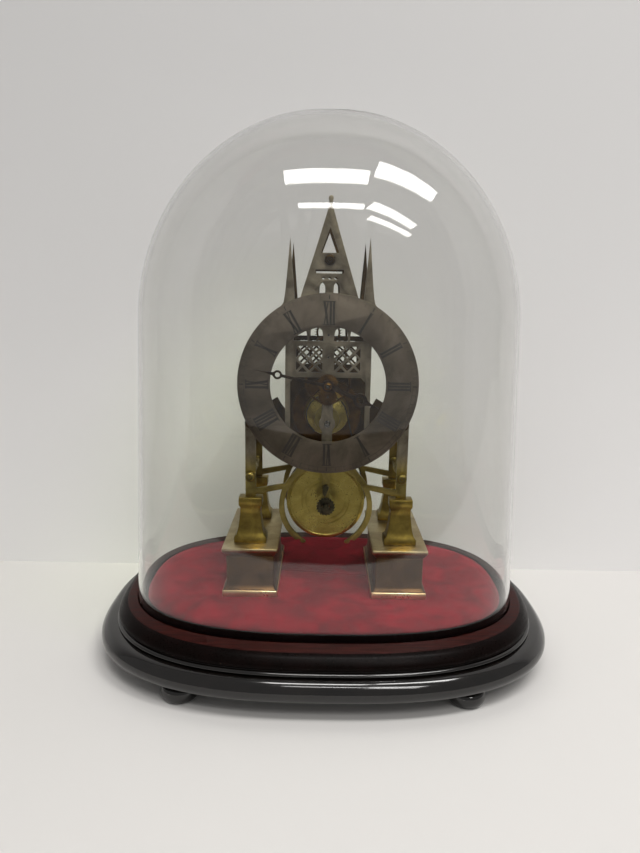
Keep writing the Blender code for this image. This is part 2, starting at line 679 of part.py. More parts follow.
def make_plates():
    """Two fretted plates; the rear one is left solid behind the fusee."""
    pillars = [bore(PILLAR_END_RADIUS, centre=place) for place in plate_places()]
    train = [(0, z - centre_z) for z in (third_z, escape_z)]
    common = pillars + [bore(PIVOT_RADIUS, centre=place) for place in train]
    fusee, barrel, pallets = ((0, z - centre_z) for z in (fusee_z, barrel_z, pallet_z))
    stud = (0, minute_wheel_z - centre_z)
    front = common + [
        bore(ARBOR_RADIUS, centre=(0, 0)),
        bore(FUSEE_ARBOR_RADIUS, SMALL_SIDES, fusee),
        bore(BARREL_ARBOR_RADIUS, SMALL_SIDES, barrel),
        bore(PIVOT_RADIUS, centre=pallets),
        bore(PIVOT_RADIUS, centre=stud),
        bore(PIVOT_RADIUS, centre=click_place()),
        bore(PIVOT_RADIUS, centre=stop_place()),
    ]
    rear = common + [
        bore(PIVOT_RADIUS, centre=(0, 0)),
        bore(PIVOT_RADIUS, centre=fusee),
        bore(BARREL_ARBOR_RADIUS / 2, centre=barrel),
        bore(ARBOR_RADIUS, centre=pallets),
    ]
    front += [lower_window(), flipped(lower_window())]
    for name, holes, y in (("front_plate", front, -plate_y), ("rear_plate", rear, plate_y)):
        outlines = [plate_edge()] + plate_holes() + holes
        flat(name, outlines, PLATE_THICKNESS, old_brass, (0, y, centre_z))


def make_pillars():
    """Five turned pillars, riveted at the back and held by a round nut at the front."""
    half = inner_face - SEAT
    tip = outer_face + PILLAR_NUT_HEIGHT
    waist = PILLAR_RADIUS * 0.6
    profile = [
        (0, outer_face), (PILLAR_END_RADIUS, outer_face), (PILLAR_END_RADIUS, half), (PILLAR_RADIUS, half),
        (waist, half * 0.82), (PILLAR_RADIUS, half * 0.1), (PILLAR_RADIUS, -half * 0.1), (waist, -half * 0.82),
        (PILLAR_RADIUS, -half), (PILLAR_END_RADIUS, -half), (PILLAR_END_RADIUS, -tip), (0, -tip),
    ]
    hole = (PILLAR_END_RADIUS + RUNNING_FIT) / math.cos(math.pi / SMALL_SIDES)
    nut = [
        (hole, PILLAR_NUT_HEIGHT), (PILLAR_NUT_RADIUS, PILLAR_NUT_HEIGHT),
        (PILLAR_NUT_RADIUS, PILLAR_NUT_HEIGHT * 0.45), (PILLAR_NUT_RADIUS * 0.7, 0), (hole, 0),
    ]
    names = ("low_left", "low_right", "foot_left", "foot_right", "spire")
    for name, (x, z) in zip(names, plate_places()):
        turned(f"pillar_{name}", profile, TINY_SIDES, old_brass, (x, 0, centre_z + z))
        y = -outer_face - SEAT - PILLAR_NUT_HEIGHT
        turned(f"pillar_nut_{name}", nut, SMALL_SIDES, old_brass, (x, y, centre_z + z), ring=True)


def make_dial():
    """Pierced chapter ring, with four feet that stand on the front plate."""
    ring = flat(
        "chapter_ring",
        [arc((0, 0), DIAL_RADIUS, 0, 352.5, 47), arc((0, 0), DIAL_INNER_RADIUS, 0, 351, 39)],
        DIAL_THICKNESS,
        pewter,
        (0, dial_back_y - DIAL_THICKNESS / 2, centre_z),
    )
    ring = as_mesh(ring)
    foot_ring = (DIAL_RADIUS + DIAL_INNER_RADIUS) / 2
    foot_x = TOWER_HALF_WIDTH - TOWER_POST / 2
    foot_z = math.sqrt(foot_ring**2 - foot_x**2)
    sunk = DIAL_THICKNESS / 2
    length = DIAL_STAND_OFF - SEAT + sunk
    for n, (x, z) in enumerate(((foot_x, foot_z), (-foot_x, foot_z), (foot_x, -foot_z), (-foot_x, -foot_z))):
        profile = [(0, length), (DIAL_FOOT_RADIUS, length), (DIAL_FOOT_RADIUS, 0), (0, 0)]
        place = (x, dial_back_y - sunk, centre_z + z)
        join(ring, turned(f"dial_foot_{n + 1}", profile, TINY_SIDES, pewter, place, collection=helpers))


def hand_outline(length, eye, ring_at, ring_size):
    """A fleur hand: round its boss, up a thin stem, out into a pierced leaf and on to a point."""
    stem = eye * 0.32
    right = arc((0, 0), eye, -90, 68, 5)
    right += [(stem, length * (ring_at - ring_size * 1.1))]
    right += arc((0, length * ring_at), length * ring_size, -70, 60, 5)
    right += [(stem * 0.8, length * (ring_at + ring_size * 1.3)), (0, length)]
    return mirrored(right)


def make_hands():
    minute_angle = 2 * math.pi * SHOWN_MINUTE / 60
    hour_angle = 2 * math.pi * (SHOWN_HOUR + SHOWN_MINUTE / 60) / 12
    cannon_outer = cannon_radii()[1]
    pipe_outer = hour_pipe_radii()[1]
    eye = pipe_outer + HAND_STEP * 1.3
    leaf_at, leaf = 0.62, 0.125
    outlines = [
        hand_outline(HOUR_HAND_LENGTH, eye, leaf_at, leaf),
        bore(pipe_outer, SMALL_SIDES),
        arc((0, HOUR_HAND_LENGTH * leaf_at), HOUR_HAND_LENGTH * leaf * 0.6, 0, 315, 7),
    ]
    flat("hour_hand", outlines, HAND_THICKNESS, blued, (0, hour_hand_y - HAND_THICKNESS / 2, centre_z),
         (math.pi / 2, hour_angle, 0))
    leaf_at, leaf = 0.66, 0.06
    eye = cannon_outer + HAND_STEP
    outlines = [
        hand_outline(MINUTE_HAND_LENGTH, eye, leaf_at, leaf),
        bore(cannon_outer, SMALL_SIDES),
        arc((0, MINUTE_HAND_LENGTH * leaf_at), MINUTE_HAND_LENGTH * leaf * 0.55, 0, 315, 7),
    ]
    flat("minute_hand", outlines, HAND_THICKNESS, blued, (0, minute_hand_y - HAND_THICKNESS / 2, centre_z),
         (math.pi / 2, minute_angle, 0))
    hole = (ARBOR_RADIUS + RUNNING_FIT) / math.cos(math.pi / SMALL_SIDES)
    rise = HAND_STEP
    collet = [(hole, rise), (eye, rise), (eye, rise / 2), (eye * 0.7, 0), (hole, 0)]
    front = minute_hand_y - HAND_THICKNESS - SEAT - HAND_THICKNESS - SEAT
    turned("hand_collet", collet, SMALL_SIDES, brass, (0, front - rise, centre_z), ring=True)


def cannon_radii():
    hole = (ARBOR_RADIUS + RUNNING_FIT) / math.cos(math.pi / SMALL_SIDES)
    return hole, hole + ARBOR_RADIUS / 3


def hour_pipe_radii():
    hole = (cannon_radii()[1] + RUNNING_FIT) / math.cos(math.pi / SMALL_SIDES)
    return hole, hole + ARBOR_RADIUS / 2


def toothed(name, count, module, pointing, inner, thickness, place, look, windows=()):
    outlines = [teeth(count, module, pointing), inner] + list(windows)
    return flat(name, outlines, thickness, look, place)


def make_motion_work():
    """Cannon pinion, minute wheel with its pinion, and hour wheel with its pipe."""
    cannon_y = -outer_face - HAND_STEP - WHEEL_THICKNESS / 2
    upper_y = cannon_y - WHEEL_THICKNESS - RUNNING_FIT * 2
    up, down = math.pi / 2, -math.pi / 2
    hole, cannon_outer = cannon_radii()
    pinion = as_mesh(flat(
        "cannon_pinion",
        [pinion_teeth(CANNON_TEETH, MOTION_MODULE, down), bore(ARBOR_RADIUS, SMALL_SIDES)],
        WHEEL_THICKNESS, steel, (0, cannon_y, centre_z),
    ))
    front = minute_hand_y - HAND_THICKNESS - SEAT
    length = cannon_y - front
    pipe = [(hole, length), (cannon_outer, length), (cannon_outer, 0), (hole, 0)]
    join(pinion, turned("cannon_pipe", pipe, SMALL_SIDES, steel, (0, front, centre_z), ring=True, collection=helpers))

    pin = PIVOT_RADIUS
    wheel = as_mesh(flat(
        "minute_wheel",
        [teeth(MINUTE_WHEEL_TEETH, MOTION_MODULE, up + math.pi / MINUTE_WHEEL_TEETH), bore(pin)],
        WHEEL_THICKNESS * 0.7, brass, (0, cannon_y, minute_wheel_z),
    ))
    reach = cannon_y - upper_y + WHEEL_THICKNESS / 2
    leaves = as_mesh(flat(
        "minute_pinion",
        [pinion_teeth(MINUTE_PINION_TEETH, MOTION_MODULE, up), bore(pin)],
        reach, brass, (0, cannon_y - reach / 2, minute_wheel_z), collection=helpers,
    ))
    join(wheel, leaves)
    shoulder = -outer_face - SEAT - HAND_STEP / 3
    tip = cannon_y - reach - HAND_STEP
    stud_profile = [
        (0, -inner_face - SEAT), (pin, -inner_face - SEAT), (pin, -outer_face - SEAT), (2 * pin, -outer_face - SEAT),
        (2 * pin, shoulder), (pin, shoulder), (pin, tip), (0, tip),
    ]
    turned("minute_wheel_stud", stud_profile, TINY_SIDES, steel, (0, 0, minute_wheel_z))

    pipe_bore, pipe_outer = hour_pipe_radii()
    wheel = as_mesh(flat(
        "hour_wheel",
        [teeth(HOUR_TEETH, MOTION_MODULE, down + math.pi / HOUR_TEETH), bore(cannon_outer, SMALL_SIDES)],
        WHEEL_THICKNESS * 0.7, brass, (0, upper_y, centre_z),
    ))
    front = hour_hand_y - HAND_THICKNESS - SEAT
    length = upper_y - front
    pipe = [(pipe_bore, length), (pipe_outer, length), (pipe_outer, 0), (pipe_bore, 0)]
    join(wheel, turned("hour_pipe", pipe, SMALL_SIDES, brass, (0, front, centre_z), ring=True, collection=helpers))


def arbor(name, z, front, back, front_radius, back_radius, body):
    """A turned steel arbor: a thin pivot at each end and a body between the plates."""
    half = inner_face - SEAT
    profile = [(0, back), (back_radius, back), (back_radius, half), (body, half)]
    profile += [(body, -half), (front_radius, -half), (front_radius, front), (0, front)]
    return turned(name, profile, TINY_SIDES, steel, (0, 0, z))


def train_pinion(name, count, module, pointing, y, z, onto):
    outline = pinion_teeth(count, module, pointing)
    join(onto, as_mesh(flat(name, [outline], PINION_LENGTH, steel, (0, y, z), collection=helpers)))


def make_train():
    """Centre, third and escape arbors, all on the middle line of the frame, with their wheels."""
    up, down = math.pi / 2, -math.pi / 2
    end = inner_face + PLATE_THICKNESS - SEAT
    front = minute_hand_y - 2 * HAND_THICKNESS - 2 * SEAT - 2 * HAND_STEP
    centre = arbor("centre_arbor", centre_z, front, end, ARBOR_RADIUS, PIVOT_RADIUS, ARBOR_RADIUS * 1.25)
    train_pinion("centre_leaves", CENTRE_PINION_TEETH, GREAT_MODULE, down + math.pi / CENTRE_PINION_TEETH,
                 GREAT_WHEEL_Y, centre_z, centre)
    third_body = thin_body(THIRD_PINION_TEETH, CENTRE_MODULE)
    third = arbor("third_arbor", third_z, -end, end, PIVOT_RADIUS, PIVOT_RADIUS, third_body)
    train_pinion("third_leaves", THIRD_PINION_TEETH, CENTRE_MODULE, down + math.pi / THIRD_PINION_TEETH,
                 CENTRE_WHEEL_Y, third_z, third)
    escape_body = thin_body(ESCAPE_PINION_TEETH, THIRD_MODULE)
    escape = arbor("escape_arbor", escape_z, -end, end, PIVOT_RADIUS, PIVOT_RADIUS, escape_body)
    train_pinion("escape_leaves", ESCAPE_PINION_TEETH, THIRD_MODULE, down + math.pi / ESCAPE_PINION_TEETH,
                 THIRD_WHEEL_Y, escape_z, escape)
    for name, count, module, y, z, body in (
        ("centre_wheel", CENTRE_TEETH, CENTRE_MODULE, CENTRE_WHEEL_Y, centre_z, ARBOR_RADIUS * 1.25),
        ("third_wheel", THIRD_TEETH, THIRD_MODULE, THIRD_WHEEL_Y, third_z, third_body),
    ):
        rim = count * module / 2 - 4.5 * module
        windows = crossings(4, body * 2.6, rim, ARBOR_RADIUS)
        toothed(name, count, module, up, bore(body, SMALL_SIDES), WHEEL_THICKNESS, (0, y, z), brass, windows)
    escape_wheel(escape_body)


def thin_body(count, module):
    """An arbor thinner than the roots of its own pinion, so that the wheel's teeth pass it."""
    return count * module / 2 - 1.5 * module - SEAT / 3


def escape_wheel(body):
    step = 2 * math.pi / ESCAPE_TEETH
    root = ESCAPE_RADIUS * 0.84
    tooth = ((root, 0.0), (root, 0.58), (ESCAPE_RADIUS, 0.98))
    edge = [
        (r * math.cos((n + a) * step), r * math.sin((n + a) * step))
        for n in range(ESCAPE_TEETH) for r, a in tooth
    ]
    windows = crossings(4, ARBOR_RADIUS * 2.2, root * 0.86, ARBOR_RADIUS * 0.8)
    outlines = [edge, bore(body, SMALL_SIDES)] + windows
    as_mesh(flat("escape_wheel", outlines, WHEEL_THICKNESS * 0.7, brass, (0, ESCAPE_WHEEL_Y, escape_z)))


def click_place():
    """Where the click turns on the hanger, from the middle of the dial."""
    return (0, barrel_z - centre_z + RATCHET_RADIUS * 2)


def stop_place():
    """Where the stop lever turns on the shoulder, from the middle of the dial."""
    radius = (SHOULDER_INNER_RADIUS + SHOULDER_OUTER_RADIUS) / 2
    return (-radius * STOP_SIDE_SHARE, -radius * math.sqrt(1 - STOP_SIDE_SHARE**2))


def make_barrel():
    """Mainspring barrel with its cap, arbor, spring, and the ratchet and click that set it up."""
    half = BARREL_LENGTH / 2
    hub = BARREL_ARBOR_RADIUS + RUNNING_FIT
    inside = BARREL_RADIUS - BARREL_WALL
    cap_seat = BARREL_WALL + SEAT
    hole = hub / math.cos(math.pi / FINE_SIDES)
    drum = [
        (hole, half), (BARREL_RADIUS, half), (BARREL_RADIUS, -half + cap_seat), (inside, -half + cap_seat),
        (inside, half - BARREL_WALL), (hole, half - BARREL_WALL),
    ]
    turned("barrel_drum", drum, FINE_SIDES, brass, (0, 0, barrel_z), ring=True)
    cap = [
        (hole, -half + BARREL_WALL), (BARREL_RADIUS, -half + BARREL_WALL),
        (BARREL_RADIUS * 0.985, -half), (hole, -half),
    ]
    turned("barrel_cap", cap, FINE_SIDES, brass, (0, 0, barrel_z), ring=True)

    core = half - BARREL_WALL - SEAT * 2
    square_end = outer_face + 4 * WHEEL_THICKNESS
    back = inner_face + PLATE_THICKNESS - SEAT
    body = inner_face - SEAT
    hook = BARREL_ARBOR_RADIUS * 2.6
    profile = [
        (0, back), (BARREL_ARBOR_RADIUS / 2, back), (BARREL_ARBOR_RADIUS / 2, body), (BARREL_ARBOR_RADIUS, body),
        (BARREL_ARBOR_RADIUS, core), (hook, core), (hook, -core), (BARREL_ARBOR_RADIUS, -core),
        (BARREL_ARBOR_RADIUS, -square_end), (0, -square_end),
    ]
    turned("barrel_arbor", profile, SMALL_SIDES, steel, (0, 0, barrel_z))

    steps = SPRING_TURNS * SMALL_SIDES
    outer = inside - SEAT - SPRING_STRIP / 2
    inner = hook + SPRING_STRIP
    edges = ([], [])
    for n in range(steps + 1):
        middle = outer + (inner - outer) * n / steps
        angle = 2 * math.pi * n / SMALL_SIDES
        for edge, side in zip(edges, (1, -1)):
            radius = middle + side * SPRING_STRIP / 2
            edge.append((radius * math.cos(angle), radius * math.sin(angle)))
    flat("mainspring", [edges[0] + edges[1][::-1]], 2 * (core - SEAT), steel, (0, 0, barrel_z))

    ratchet_y = -outer_face - SEAT - WHEEL_THICKNESS / 2
    step = 2 * math.pi / RATCHET_TEETH
    root = RATCHET_RADIUS * 0.84
    edge = [
        (r * math.cos((n + a) * step), r * math.sin((n + a) * step))
        for n in range(RATCHET_TEETH) for r, a in ((root, 0.0), (RATCHET_RADIUS, 0.9))
    ]
    outlines = [edge, bore(BARREL_ARBOR_RADIUS, SMALL_SIDES)]
    flat("setup_ratchet", outlines, WHEEL_THICKNESS, steel, (0, ratchet_y, barrel_z))
    place = click_place()
    arm = RATCHET_RADIUS
    beak_shares = ((-0.30, 0.0), (-0.36, -0.6), (-0.1, -0.95), (0.1, -0.55), (0.3, 0.0))
    beak = [(arm * across, arm * up) for across, up in beak_shares]
    body = as_mesh(flat("click", [beak + arc((0, 0), arm * 0.3, 20, 160, 4)], WHEEL_THICKNESS, steel,
                        (place[0], ratchet_y, centre_z + place[1])))
    pin = [(0, -inner_face - SEAT), (PIVOT_RADIUS, -inner_face - SEAT), (PIVOT_RADIUS, ratchet_y), (0, ratchet_y)]
    join(body, turned("click_pin", pin, TINY_SIDES, steel, (place[0], 0, centre_z + place[1]), collection=helpers))


def fusee_radius(share):
    """Crest radius along the fusee, from the small front end to the large back end."""
    growth = 1.25
    return FUSEE_SMALL_RADIUS + (FUSEE_LARGE_RADIUS - FUSEE_SMALL_RADIUS) * share**growth


def fusee_y(share):
    back = GREAT_WHEEL_Y - GREAT_WHEEL_THICKNESS / 2 - RUNNING_FIT
    return back - FUSEE_LENGTH * (1 - share)


def fusee_pitch_share():
    """How far along the fusee one turn of its groove goes."""
    return (1 - 2 * FUSEE_FLANGE_SHARE) / (FUSEE_TURNS + 1)


def make_fusee():
    """Great wheel, and the fusee with its one spiral groove from end to end."""
    toothed("great_wheel", GREAT_TEETH, GREAT_MODULE, math.pi / 2, bore(FUSEE_ARBOR_RADIUS, SMALL_SIDES),
            GREAT_WHEEL_THICKNESS, (0, GREAT_WHEEL_Y, fusee_z), brass)

    around = CONE_SIDES
    pitch = fusee_pitch_share()
    shape = bmesh.new()

    def point(share, radius, step):
        angle = 2 * math.pi * step / around
        return shape.verts.new((radius * math.cos(angle), fusee_y(share), radius * math.sin(angle)))

    crest, root = [], []
    for n in range((FUSEE_TURNS + 1) * around + 1):
        share = FUSEE_FLANGE_SHARE + pitch * n / around
        crest.append(point(share, fusee_radius(share), n))
    for n in range(FUSEE_TURNS * around + 1):
        share = FUSEE_FLANGE_SHARE + pitch * (n / around + 0.5)
        root.append(point(share, fusee_radius(share) - FUSEE_GROOVE_DEPTH, n))
    front = [point(0.0, fusee_radius(0.0), n) for n in range(around)]
    back = [point(1.0, fusee_radius(1.0), n) for n in range(around)]
    last = FUSEE_TURNS * around
    for n in range(last):
        shape.faces.new((crest[n], crest[n + 1], root[n + 1], root[n]))
        shape.faces.new((root[n], root[n + 1], crest[n + 1 + around], crest[n + around]))
    for n in range(around):
        after = (n + 1) % around
        shape.faces.new((front[n], front[after], crest[n + 1], crest[n]))
        shape.faces.new((crest[last + n], crest[last + n + 1], back[after], back[n]))
    shape.faces.new((front[0], crest[0], root[0], crest[around]))
    shape.faces.new((back[0], crest[last + around], root[last], crest[last]))
    shape.faces.new(front)
    shape.faces.new(back)
    bmesh.ops.recalc_face_normals(shape, faces=shape.faces)
    mesh = bpy.data.meshes.new("fusee_cone")
    shape.to_mesh(mesh)
    shape.free()
    cone = add("fusee_cone", mesh, brass, (0, 0, fusee_z), LYING)

    half = inner_face - SEAT
    end = outer_face - SEAT
    front_end = -outer_face - SEAT
    profile = [
        (0, end), (PIVOT_RADIUS, end), (PIVOT_RADIUS, half), (FUSEE_ARBOR_RADIUS, half),
        (FUSEE_ARBOR_RADIUS, front_end - SEAT), (0, front_end - SEAT),
    ]
    join(cone, turned("fusee_arbor", profile, SMALL_SIDES, steel, (0, 0, fusee_z), collection=helpers))
    side = WINDING_SQUARE / 2
    outline = [(side, side), (-side, side), (-side, -side), (side, -side)]
    length = WINDING_LENGTH + PLATE_THICKNESS / 2
    place = (0, -outer_face - WINDING_LENGTH + length / 2, fusee_z)
    join(cone, as_mesh(flat("winding_square", [outline], length, steel, place, collection=helpers)))


def make_chain():
    """The chain: turns on the barrel, a straight run up to the fusee, part of a turn on it."""
    clear = CHAIN_RADIUS + SEAT
    sides = 24
    on_barrel = BARREL_RADIUS + clear
    share = CHAIN_ON_FUSEE_SHARE
    turn_share = fusee_pitch_share()
    on_fusee = fusee_radius(share + turn_share / 2) + clear
    run_y = fusee_y(share)
    pitch = 4 * CHAIN_RADIUS
    start_y = run_y - pitch * CHAIN_BARREL_TURNS
    lean = math.asin((on_barrel - on_fusee) / (fusee_z - barrel_z))
    points = []
    turns = CHAIN_BARREL_TURNS * sides
    for n in range(turns + 1):
        angle = lean - 2 * math.pi * (turns - n) / sides
        y = start_y + (run_y - start_y) * n / turns
        points.append(Vector((on_barrel * math.cos(angle), y, barrel_z + on_barrel * math.sin(angle))))
    part = sides * 5 // 8
    for n in range(part + 1):
        angle = lean + 2 * math.pi * n / sides
        grow = fusee_radius(min(share + turn_share * (n / sides + 0.5), 1.0)) + clear
        y = run_y + FUSEE_LENGTH * turn_share * n / sides
        points.append(Vector((grow * math.cos(angle), y, fusee_z + grow * math.sin(angle))))
    hook = CHAIN_RADIUS * 2
    first = points[0] + (points[0] - points[1]).normalized() * hook
    last = points[-1] + (points[-1] - points[-2]).normalized() * hook
    points = [first] + points + [last]
    curve = bpy.data.curves.new("fusee_chain", "CURVE")
    curve.dimensions = "3D"
    curve.bevel_depth = CHAIN_RADIUS
    curve.bevel_resolution = 0
    curve.use_fill_caps = True
    spline = curve.splines.new("POLY")
    spline.points.add(len(points) - 1)
    for target, place in zip(spline.points, points):
        target.co = (*place, 1)
    add("fusee_chain", curve, steel, (0, 0, 0), LYING)
    apart = []
    for n, first in enumerate(points):
        for second in points[n + sides // 2:]:
            apart.append((first - second).length)
    print(f"chain's least gap to itself: {1000 * (min(apart) - 2 * CHAIN_RADIUS):.2f} mm")


def make_stop():
    """The lever that the last turn of chain lifts, so that the key can't overwind the spring."""
    x, z = stop_place()
    reach = -x * 0.9
    width = PIVOT_RADIUS * 2.6
    y = -inner_face + SEAT + WHEEL_THICKNESS / 2
    edge = arc((0, 0), width, 100, 260, 5)
    edge += [(reach * 0.8, -width * 0.6), (reach, -width * 0.2), (reach, width * 0.8), (reach * 0.85, width * 0.6)]
    lever = as_mesh(flat("stop_lever", [edge], WHEEL_THICKNESS, steel, (x, y, centre_z + z)))
    pin = [(0, y), (PIVOT_RADIUS, y), (PIVOT_RADIUS, -outer_face + SEAT), (0, -outer_face + SEAT)]
    join(lever, turned("stop_pin", pin, TINY_SIDES, steel, (x, 0, centre_z + z), collection=helpers))


def make_escapement():
    """Anchor and its arbor, the crutch behind the rear plate, and the cock that carries both."""
    clear = ESCAPE_RADIUS + PALLET_OPENING
    nib = math.radians(48)
    inner = (clear * math.sin(nib), clear * math.cos(nib) - PALLET_DISTANCE)
    thick = ARBOR_RADIUS * 1.5
    right = [(thick * 0.9, -thick * 0.9), (inner[0] - thick * 0.6, inner[1] + thick * 1.6), inner]
    right += [(inner[0] + thick * 0.9, inner[1] - thick * 0.3), (inner[0] + thick, inner[1] + thick * 2)]
    right += arc((0, 0), thick * 1.5, 35, 90, 3)
    anchor = mirrored([(0, -thick * 0.9)] + right)
    pallets = as_mesh(flat("pallets", [anchor], WHEEL_THICKNESS * 1.4, steel, (0, ESCAPE_WHEEL_Y, pallet_z)))
    half = inner_face - SEAT
    profile = [
        (0, cock_y + COCK_THICKNESS / 2 - SEAT), (PIVOT_RADIUS, cock_y + COCK_THICKNESS / 2 - SEAT),
        (PIVOT_RADIUS, cock_y - COCK_THICKNESS / 2 - SEAT), (ARBOR_RADIUS, cock_y - COCK_THICKNESS / 2 - SEAT),
        (ARBOR_RADIUS, -half), (PIVOT_RADIUS, -half), (PIVOT_RADIUS, -outer_face + SEAT), (0, -outer_face + SEAT),
    ]
    join(pallets, turned("pallet_arbor", profile, TINY_SIDES, steel, (0, 0, pallet_z), collection=helpers))

    stem = ARBOR_RADIUS * 0.9
    fork_half = PENDULUM_ROD_RADIUS * 3
    hanging = [(stem, -CRUTCH_LENGTH), (stem, -ARBOR_RADIUS * 1.8)] + arc((0, 0), ARBOR_RADIUS * 2, -40, 90, 5)
    outlines = [mirrored(hanging), bore(ARBOR_RADIUS)]
    crutch = as_mesh(flat("crutch", outlines, CRUTCH_THICKNESS, steel, (0, crutch_y, pallet_z)))
    rod = bore(PENDULUM_ROD_RADIUS, TINY_SIDES, (0, pendulum_y))
    gap = max(x for x, _ in rod)
    back = pendulum_y + fork_half
    fork = [(-fork_half, crutch_y), (fork_half, crutch_y), (fork_half, back), (gap, back), (gap, pendulum_y - gap)]
    fork += [(-gap, pendulum_y - gap), (-gap, back), (-fork_half, back)]
    place = (0, 0, pallet_z - CRUTCH_LENGTH + CRUTCH_THICKNESS)
    join(crutch, as_mesh(flat("crutch_fork", [fork], CRUTCH_THICKNESS, steel, place, LYING, helpers)))


def make_cock():
    """The bridge behind the rear plate: it holds the pallets' arbor and the pendulum's spring."""
    high = SUSPENSION_TOP + COCK_THICKNESS * 2
    low = ARBOR_RADIUS * 2.5
    lobe = COCK_THICKNESS * 1.3
    right = [(COCK_HALF_LENGTH, -low), (COCK_HALF_LENGTH, low), (lobe * 2, low), (lobe, high)]
    outlines = [mirrored(right), bore(PIVOT_RADIUS)]
    cock = as_mesh(flat("back_cock", outlines, COCK_THICKNESS, old_brass, (0, cock_y, pallet_z)))
    leg = COCK_HALF_LENGTH * 0.1
    front = outer_face + SEAT
    for side in (-1, 1):
        x = side * (COCK_HALF_LENGTH - leg - SEAT)
        outline = [(x - leg, front), (x + leg, front), (x + leg, cock_y), (x - leg, cock_y)]
        name = "cock_leg_left" if side < 0 else "cock_leg_right"
        join(cock, as_mesh(flat(name, [outline], low * 1.8, old_brass, (0, 0, pallet_z), LYING, helpers)))
    back = pendulum_y + SPRING_WIDTH
    outline = [(-lobe * 0.8, cock_y), (lobe * 0.8, cock_y), (lobe * 0.8, back), (-lobe * 0.8, back)]
    block = high - SUSPENSION_TOP - SEAT
    place = (0, 0, pallet_z + SUSPENSION_TOP + block / 2)
    join(cock, as_mesh(flat("suspension_block", [outline], block, old_brass, place, LYING, helpers)))


def make_pendulum():
    """Spring, rod, lens-shaped bob and rating nut, hung on one point behind the rear plate."""
    pivot = bpy.data.objects.new("pendulum_pivot", None)
    pivot.location = (0, pendulum_y, pallet_z)
    clock.objects.link(pivot)
    top = SUSPENSION_TOP - SEAT
    bottom = -SUSPENSION_TOP * 1.3
    thin = SPRING_STRIP / 3
    half_thin, half_wide = thin / 2, SPRING_WIDTH / 2
    outline = [(-half_thin, -half_wide), (half_thin, -half_wide), (half_thin, half_wide), (-half_thin, half_wide)]
    spring = flat("suspension_spring", [outline], top - bottom, steel, (0, 0, (top + bottom) / 2), LYING)
    rod_top = bottom - SEAT
    rod_end = -PENDULUM_LENGTH - BOB_RADIUS - 2 * RATING_NUT_HEIGHT
    head = PENDULUM_ROD_RADIUS * 2.2
    profile = [
        (0, rod_top), (head, rod_top), (head, rod_top - 2 * head), (PENDULUM_ROD_RADIUS, rod_top - 3 * head),
        (PENDULUM_ROD_RADIUS, rod_end), (0, rod_end),
    ]
    rod = turned("pendulum_rod", profile, TINY_SIDES, brass, (0, 0, 0), LYING)
    lens_shares = ((0.0, 1.0), (0.25, 0.98), (0.6, 0.72), (0.93, 0.25), (1.0, 0.12))
    lens = [(r * BOB_RADIUS, t * BOB_HALF_THICKNESS) for r, t in lens_shares]
    lens += [(r, -t) for r, t in reversed(lens)]
    bob = turned("pendulum_bob", lens, ROUND_SIDES, brass, (0, 0, -PENDULUM_LENGTH))
    reach = BOB_RADIUS + OVERRUN
    hole = (PENDULUM_ROD_RADIUS + RUNNING_FIT) / math.cos(math.pi / TINY_SIDES)
    drill = turned("bob_bore", [(0, reach), (hole, reach), (hole, -reach), (0, -reach)], TINY_SIDES, steel,
                   (0, pendulum_y, pallet_z - PENDULUM_LENGTH), LYING, collection=helpers)
    cut = bob.modifiers.new("bore", "BOOLEAN")
    cut.operation = "DIFFERENCE"
    cut.object = drill
    nut = BOB_RADIUS * 0.3
    profile = [
        (hole, 0), (nut * 0.6, 0), (nut, -RATING_NUT_HEIGHT * 0.3), (nut, -RATING_NUT_HEIGHT * 0.8),
        (nut * 0.7, -RATING_NUT_HEIGHT), (hole, -RATING_NUT_HEIGHT),
    ]
    under = -PENDULUM_LENGTH - BOB_RADIUS - SEAT
    rating = turned("rating_nut", profile, SMALL_SIDES, brass, (0, 0, under), LYING, ring=True)
    for piece in (spring, rod, bob, rating):
        piece.parent = pivot


make_stand()
make_dome()
make_plinths()
make_plates()
make_pillars()
make_dial()
make_hands()
make_motion_work()
make_train()
make_barrel()
make_fusee()
make_chain()
make_stop()
make_escapement()
make_cock()
make_pendulum()
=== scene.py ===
"""Gothic skeleton clock on an ebonised stand under an oval glass dome."""

import json
import math

import bmesh
import bpy
from mathutils import Matrix, Vector


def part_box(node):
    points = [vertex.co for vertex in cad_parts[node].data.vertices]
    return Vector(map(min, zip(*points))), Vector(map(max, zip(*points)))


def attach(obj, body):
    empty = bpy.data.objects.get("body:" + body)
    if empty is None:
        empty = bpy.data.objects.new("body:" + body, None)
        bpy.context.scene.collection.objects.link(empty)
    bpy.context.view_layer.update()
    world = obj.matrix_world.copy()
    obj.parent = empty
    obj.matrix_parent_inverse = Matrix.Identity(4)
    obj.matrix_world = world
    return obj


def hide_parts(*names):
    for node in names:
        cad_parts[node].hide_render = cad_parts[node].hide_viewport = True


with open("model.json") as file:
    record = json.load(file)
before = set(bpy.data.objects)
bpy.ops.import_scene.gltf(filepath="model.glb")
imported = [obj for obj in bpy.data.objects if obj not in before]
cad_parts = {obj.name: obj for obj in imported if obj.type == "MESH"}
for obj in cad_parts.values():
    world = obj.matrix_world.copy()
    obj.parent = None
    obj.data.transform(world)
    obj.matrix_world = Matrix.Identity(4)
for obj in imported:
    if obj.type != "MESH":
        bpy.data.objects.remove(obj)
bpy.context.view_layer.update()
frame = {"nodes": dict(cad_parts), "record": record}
bodies = {node: body for body, nodes in frame["record"]["behaviour"]["bodies"].items() for node in nodes}
bpy.context.scene.view_settings.view_transform = "Standard"


